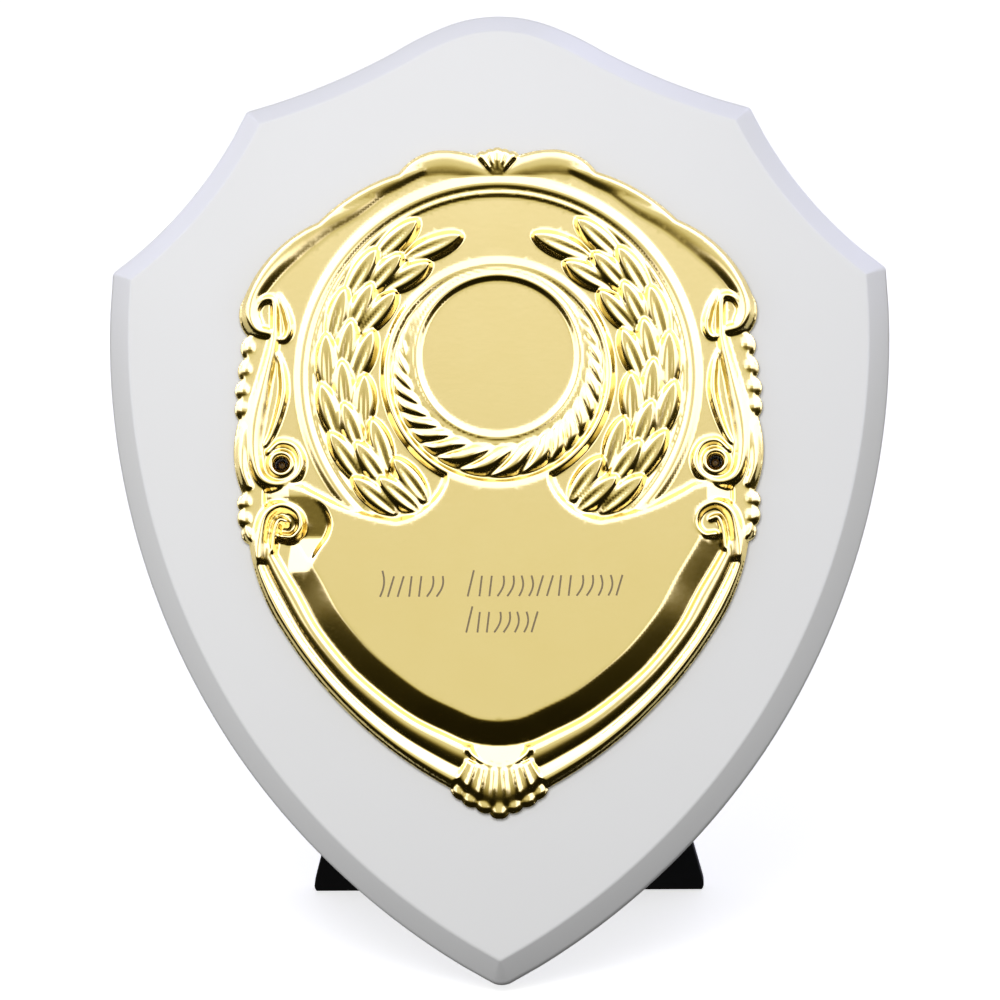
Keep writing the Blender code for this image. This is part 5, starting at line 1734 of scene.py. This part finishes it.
@dataclass
class Studio:
    """White floor, a softbox that lights the paint, and a soft surround with a warm dark lower part."""

    floor_colour: tuple[float, float, float] = (0.93, 0.93, 0.93)
    floor_shade: float = 0.985
    floor_glow: float = 0.62
    floor_reach: float = 6.0
    floor_drop: float = 0.00005
    target: tuple[float, float, float] = (0.0, 0.0, 0.08)
    front_radiance: float = 5.4
    front_size: tuple[float, float] = (0.22, 0.22)
    front_place: tuple[float, float, float] = (-0.04, -0.315, 0.30)
    front_way: tuple[float, float, float] = (0.163, -0.966, -0.2)
    mirrored_stops: tuple = (
        (0.3, (0.012, 0.01, 0.003)), (0.42, (0.035, 0.029, 0.008)), (0.475, (0.15, 0.125, 0.045)),
        (0.55, (0.5, 0.46, 0.28)), (0.625, (0.8, 0.79, 0.7)), (0.7, (0.85, 0.85, 0.84)),
        (0.727, (0.87, 0.87, 0.88)), (0.775, (1.15, 1.17, 1.45)), (0.83, (2.0, 2.05, 3.1)),
        (1.0, (2.0, 2.05, 3.1)))
    mirrored_side_stops: tuple = ((0.64, (0.0, 0.0, 0.0)), (0.74, (1.4, 1.45, 2.4)), (1.0, (1.4, 1.45, 2.4)))
    mirrored_side_shift: float = 0.1
    side_gate_stops: tuple = ((0.49, (0.0,) * 3), (0.56, (1.0,) * 3))
    side_stops: tuple = ((0.0, (0.0,) * 3), (0.5, (1.26,) * 3), (1.0, (0.4,) * 3))
    height_stops: tuple = ((0.0, (0.12,) * 3), (0.4, (0.46,) * 3), (0.6, (1.0,) * 3), (1.0, (0.1,) * 3))

    def build(self) -> None:
        """Make the floor, the lights and the surround."""
        self.floor()
        self.surround()
        front = self.softbox("front_softbox", self.front_place, self.target, self.front_size,
                             self.front_radiance)
        front.visible_glossy = False

    def floor(self) -> None:
        """A wide plain floor."""
        mesh = bpy.data.meshes.new("studio_floor")
        reach = self.floor_reach
        mesh.from_pydata([(-reach, -reach, 0), (reach, -reach, 0), (reach, reach, 0), (-reach, reach, 0)], [],
                         [(0, 1, 2, 3)])
        item = new_object("studio_floor", mesh, Matrix.Translation((0, 0, -self.floor_drop)))
        material, nodes, shader = new_material("studio_floor_look")
        link = material.node_tree.links.new
        pale = tuple(c * self.floor_shade for c in self.floor_colour)
        link(nodes.tint(nodes.noise(4.0), self.floor_colour, pale), shader.inputs["Base Color"])
        shader.inputs["Roughness"].default_value = 0.6
        shader.inputs["Emission Color"].default_value = (1.0, 1.0, 1.0, 1.0)
        shader.inputs["Emission Strength"].default_value = self.floor_glow
        item.data.materials.append(material)
        item.visible_glossy = item.visible_diffuse = False

    def softbox(self, name: str, place: Sequence[float], target: Sequence[float], size: Sequence[float],
                radiance: float) -> bpy.types.Object:
        """A rectangular softbox that faces a target.

        Args:
            name: Its name.
            place, target: Where it stands, and what it faces.
            size: Its width and height.
            radiance: Its brightness.

        Returns:
            The softbox.
        """
        light = bpy.data.lights.new(name, "AREA")
        light.shape, light.size, light.size_y = "RECTANGLE", size[0], size[1]
        light.energy = radiance * math.pi * size[0] * size[1]
        item = bpy.data.objects.new(name, light)
        bpy.context.scene.collection.objects.link(item)
        item.location = place
        item.rotation_euler = (Vector(target) - Vector(place)).to_track_quat("-Z", "Y").to_euler()
        return item

    def surround(self) -> None:
        """The world: white behind, one gradient that the gold mirrors and one that lights the paint."""
        world = bpy.data.worlds.new("studio_surround")
        bpy.context.scene.world = world
        world.use_nodes = True
        tree = world.node_tree
        tree.nodes.clear()
        nodes = NodeTree(tree)
        direction = nodes.add("ShaderNodeTexCoord").outputs["Generated"]
        parts = nodes.add("ShaderNodeSeparateXYZ", {"Vector": direction}).outputs
        rise = parts["Z"]
        shifted = nodes.combine("ShaderNodeMath", "ADD", parts["X"], self.mirrored_side_shift)
        sideways = nodes.combine("ShaderNodeMath", "ABSOLUTE", shifted)
        ahead = nodes.add("ShaderNodeVectorMath", {0: direction, 1: self.front_way}, operation="DOT_PRODUCT")
        beside = nodes.combine("ShaderNodeVectorMath", "MULTIPLY",
                               self.gradient(nodes, rise, self.side_gate_stops),
                               self.gradient(nodes, sideways, self.mirrored_side_stops))
        mirrored = nodes.combine("ShaderNodeVectorMath", "ADD",
                                 self.gradient(nodes, rise, self.mirrored_stops), beside)
        lights = nodes.combine("ShaderNodeVectorMath", "MULTIPLY",
                               self.gradient(nodes, ahead.outputs["Value"], self.side_stops),
                               self.gradient(nodes, rise, self.height_stops))
        path = nodes.add("ShaderNodeLightPath").outputs
        glossy, soft, white = (
            nodes.add("ShaderNodeBackground", {"Color": colour, "Strength": 1.0}).outputs[0]
            for colour in (mirrored, lights, (1.0, 1.0, 1.0, 1.0)))
        unscattered = nodes.combine("ShaderNodeMath", "LESS_THAN", path["Diffuse Depth"], 0.5)
        mirror_ray = nodes.combine("ShaderNodeMath", "MULTIPLY", path["Is Glossy Ray"], unscattered)
        around = nodes.add("ShaderNodeMixShader", {0: mirror_ray, 1: soft, 2: glossy}).outputs[0]
        seen = nodes.add("ShaderNodeMixShader", {0: path["Is Camera Ray"], 1: around, 2: white}).outputs[0]
        out = nodes.add("ShaderNodeOutputWorld")
        tree.links.new(seen, out.inputs["Surface"])

    @staticmethod
    def gradient(nodes: NodeTree, value: bpy.types.NodeSocket,
                 stops: Sequence[tuple]) -> bpy.types.NodeSocket:
        """Colours for a value.

        Args:
            nodes: The world's nodes.
            value: From -1 to 1.
            stops: Each stop's place and colour.

        Returns:
            The colour.
        """
        share = nodes.add("ShaderNodeMapRange", {"Value": value, "From Min": -1.0, "From Max": 1.0})
        ramp = nodes.add("ShaderNodeValToRGB", {"Fac": share.outputs["Result"]})
        while len(ramp.color_ramp.elements) < len(stops):
            ramp.color_ramp.elements.new(0.5)
        for element, (place, colour) in zip(ramp.color_ramp.elements, stops):
            element.position, element.color = place, (*colour, 1.0)
        return ramp.outputs["Color"]


@dataclass
class Camera:
    """The camera at the photograph's angle."""

    target: tuple[float, float, float] = (0.000242, -0.007193, 0.076168)
    azimuth: float = math.radians(1.548)
    elevation: float = math.radians(13.0)
    roll: float = math.radians(-0.718)
    distance: float = 0.85
    lens: float = 190.86
    sensor: float = 36.0
    clip: tuple[float, float] = (0.05, 30.0)

    def build(self) -> None:
        """Make the camera and set the colour management."""
        level = math.cos(self.elevation)
        away = Vector((math.sin(self.azimuth) * level, -math.cos(self.azimuth) * level,
                       math.sin(self.elevation)))
        right = (-away).cross(Vector((0, 0, 1))).normalized()
        up = right.cross(-away)
        x_axis = right * math.cos(self.roll) + up * math.sin(self.roll)
        y_axis = up * math.cos(self.roll) - right * math.sin(self.roll)
        data = bpy.data.cameras.new("photo_camera")
        data.lens, data.sensor_width = self.lens, self.sensor
        data.clip_start, data.clip_end = self.clip
        item = bpy.data.objects.new("photo_camera", data)
        bpy.context.scene.collection.objects.link(item)
        turn = Matrix((x_axis, y_axis, away)).transposed().to_4x4()
        item.matrix_world = Matrix.Translation(Vector(self.target) + away * self.distance) @ turn
        scene = bpy.context.scene
        scene.camera = item
        scene.view_settings.view_transform = "Standard"
        scene.view_settings.look = "None"


def main() -> None:
    """Build the whole picture."""
    logging.basicConfig(level=logging.INFO, format="%(message)s")
    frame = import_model()
    face = FaceFrame.from_record(frame["record"])
    hinge = Hinge()
    plastic = BlackPlastic().build()
    steel = ZincSteel().build()
    # The fixing pins' near-black brass is painted shade of their deep holes.
    brass = BrassInPaintedShade().build()
    Board(face, WhitePaint().build()).build()
    GoldFront(face, PaleGold().build()).build()
    Inscription(face, EngravedGold().build()).build()
    HingePlate(face, plastic, hinge).build()
    HingePin(face, steel, hinge).build()
    Strut(face, plastic, hinge).build()
    for side in Side:
        FixingPin(face, brass, side).build()
        Screw(face, steel, hinge, side).build()
    Studio().build()
    Camera().build()


if __name__ == "__main__":
    main()
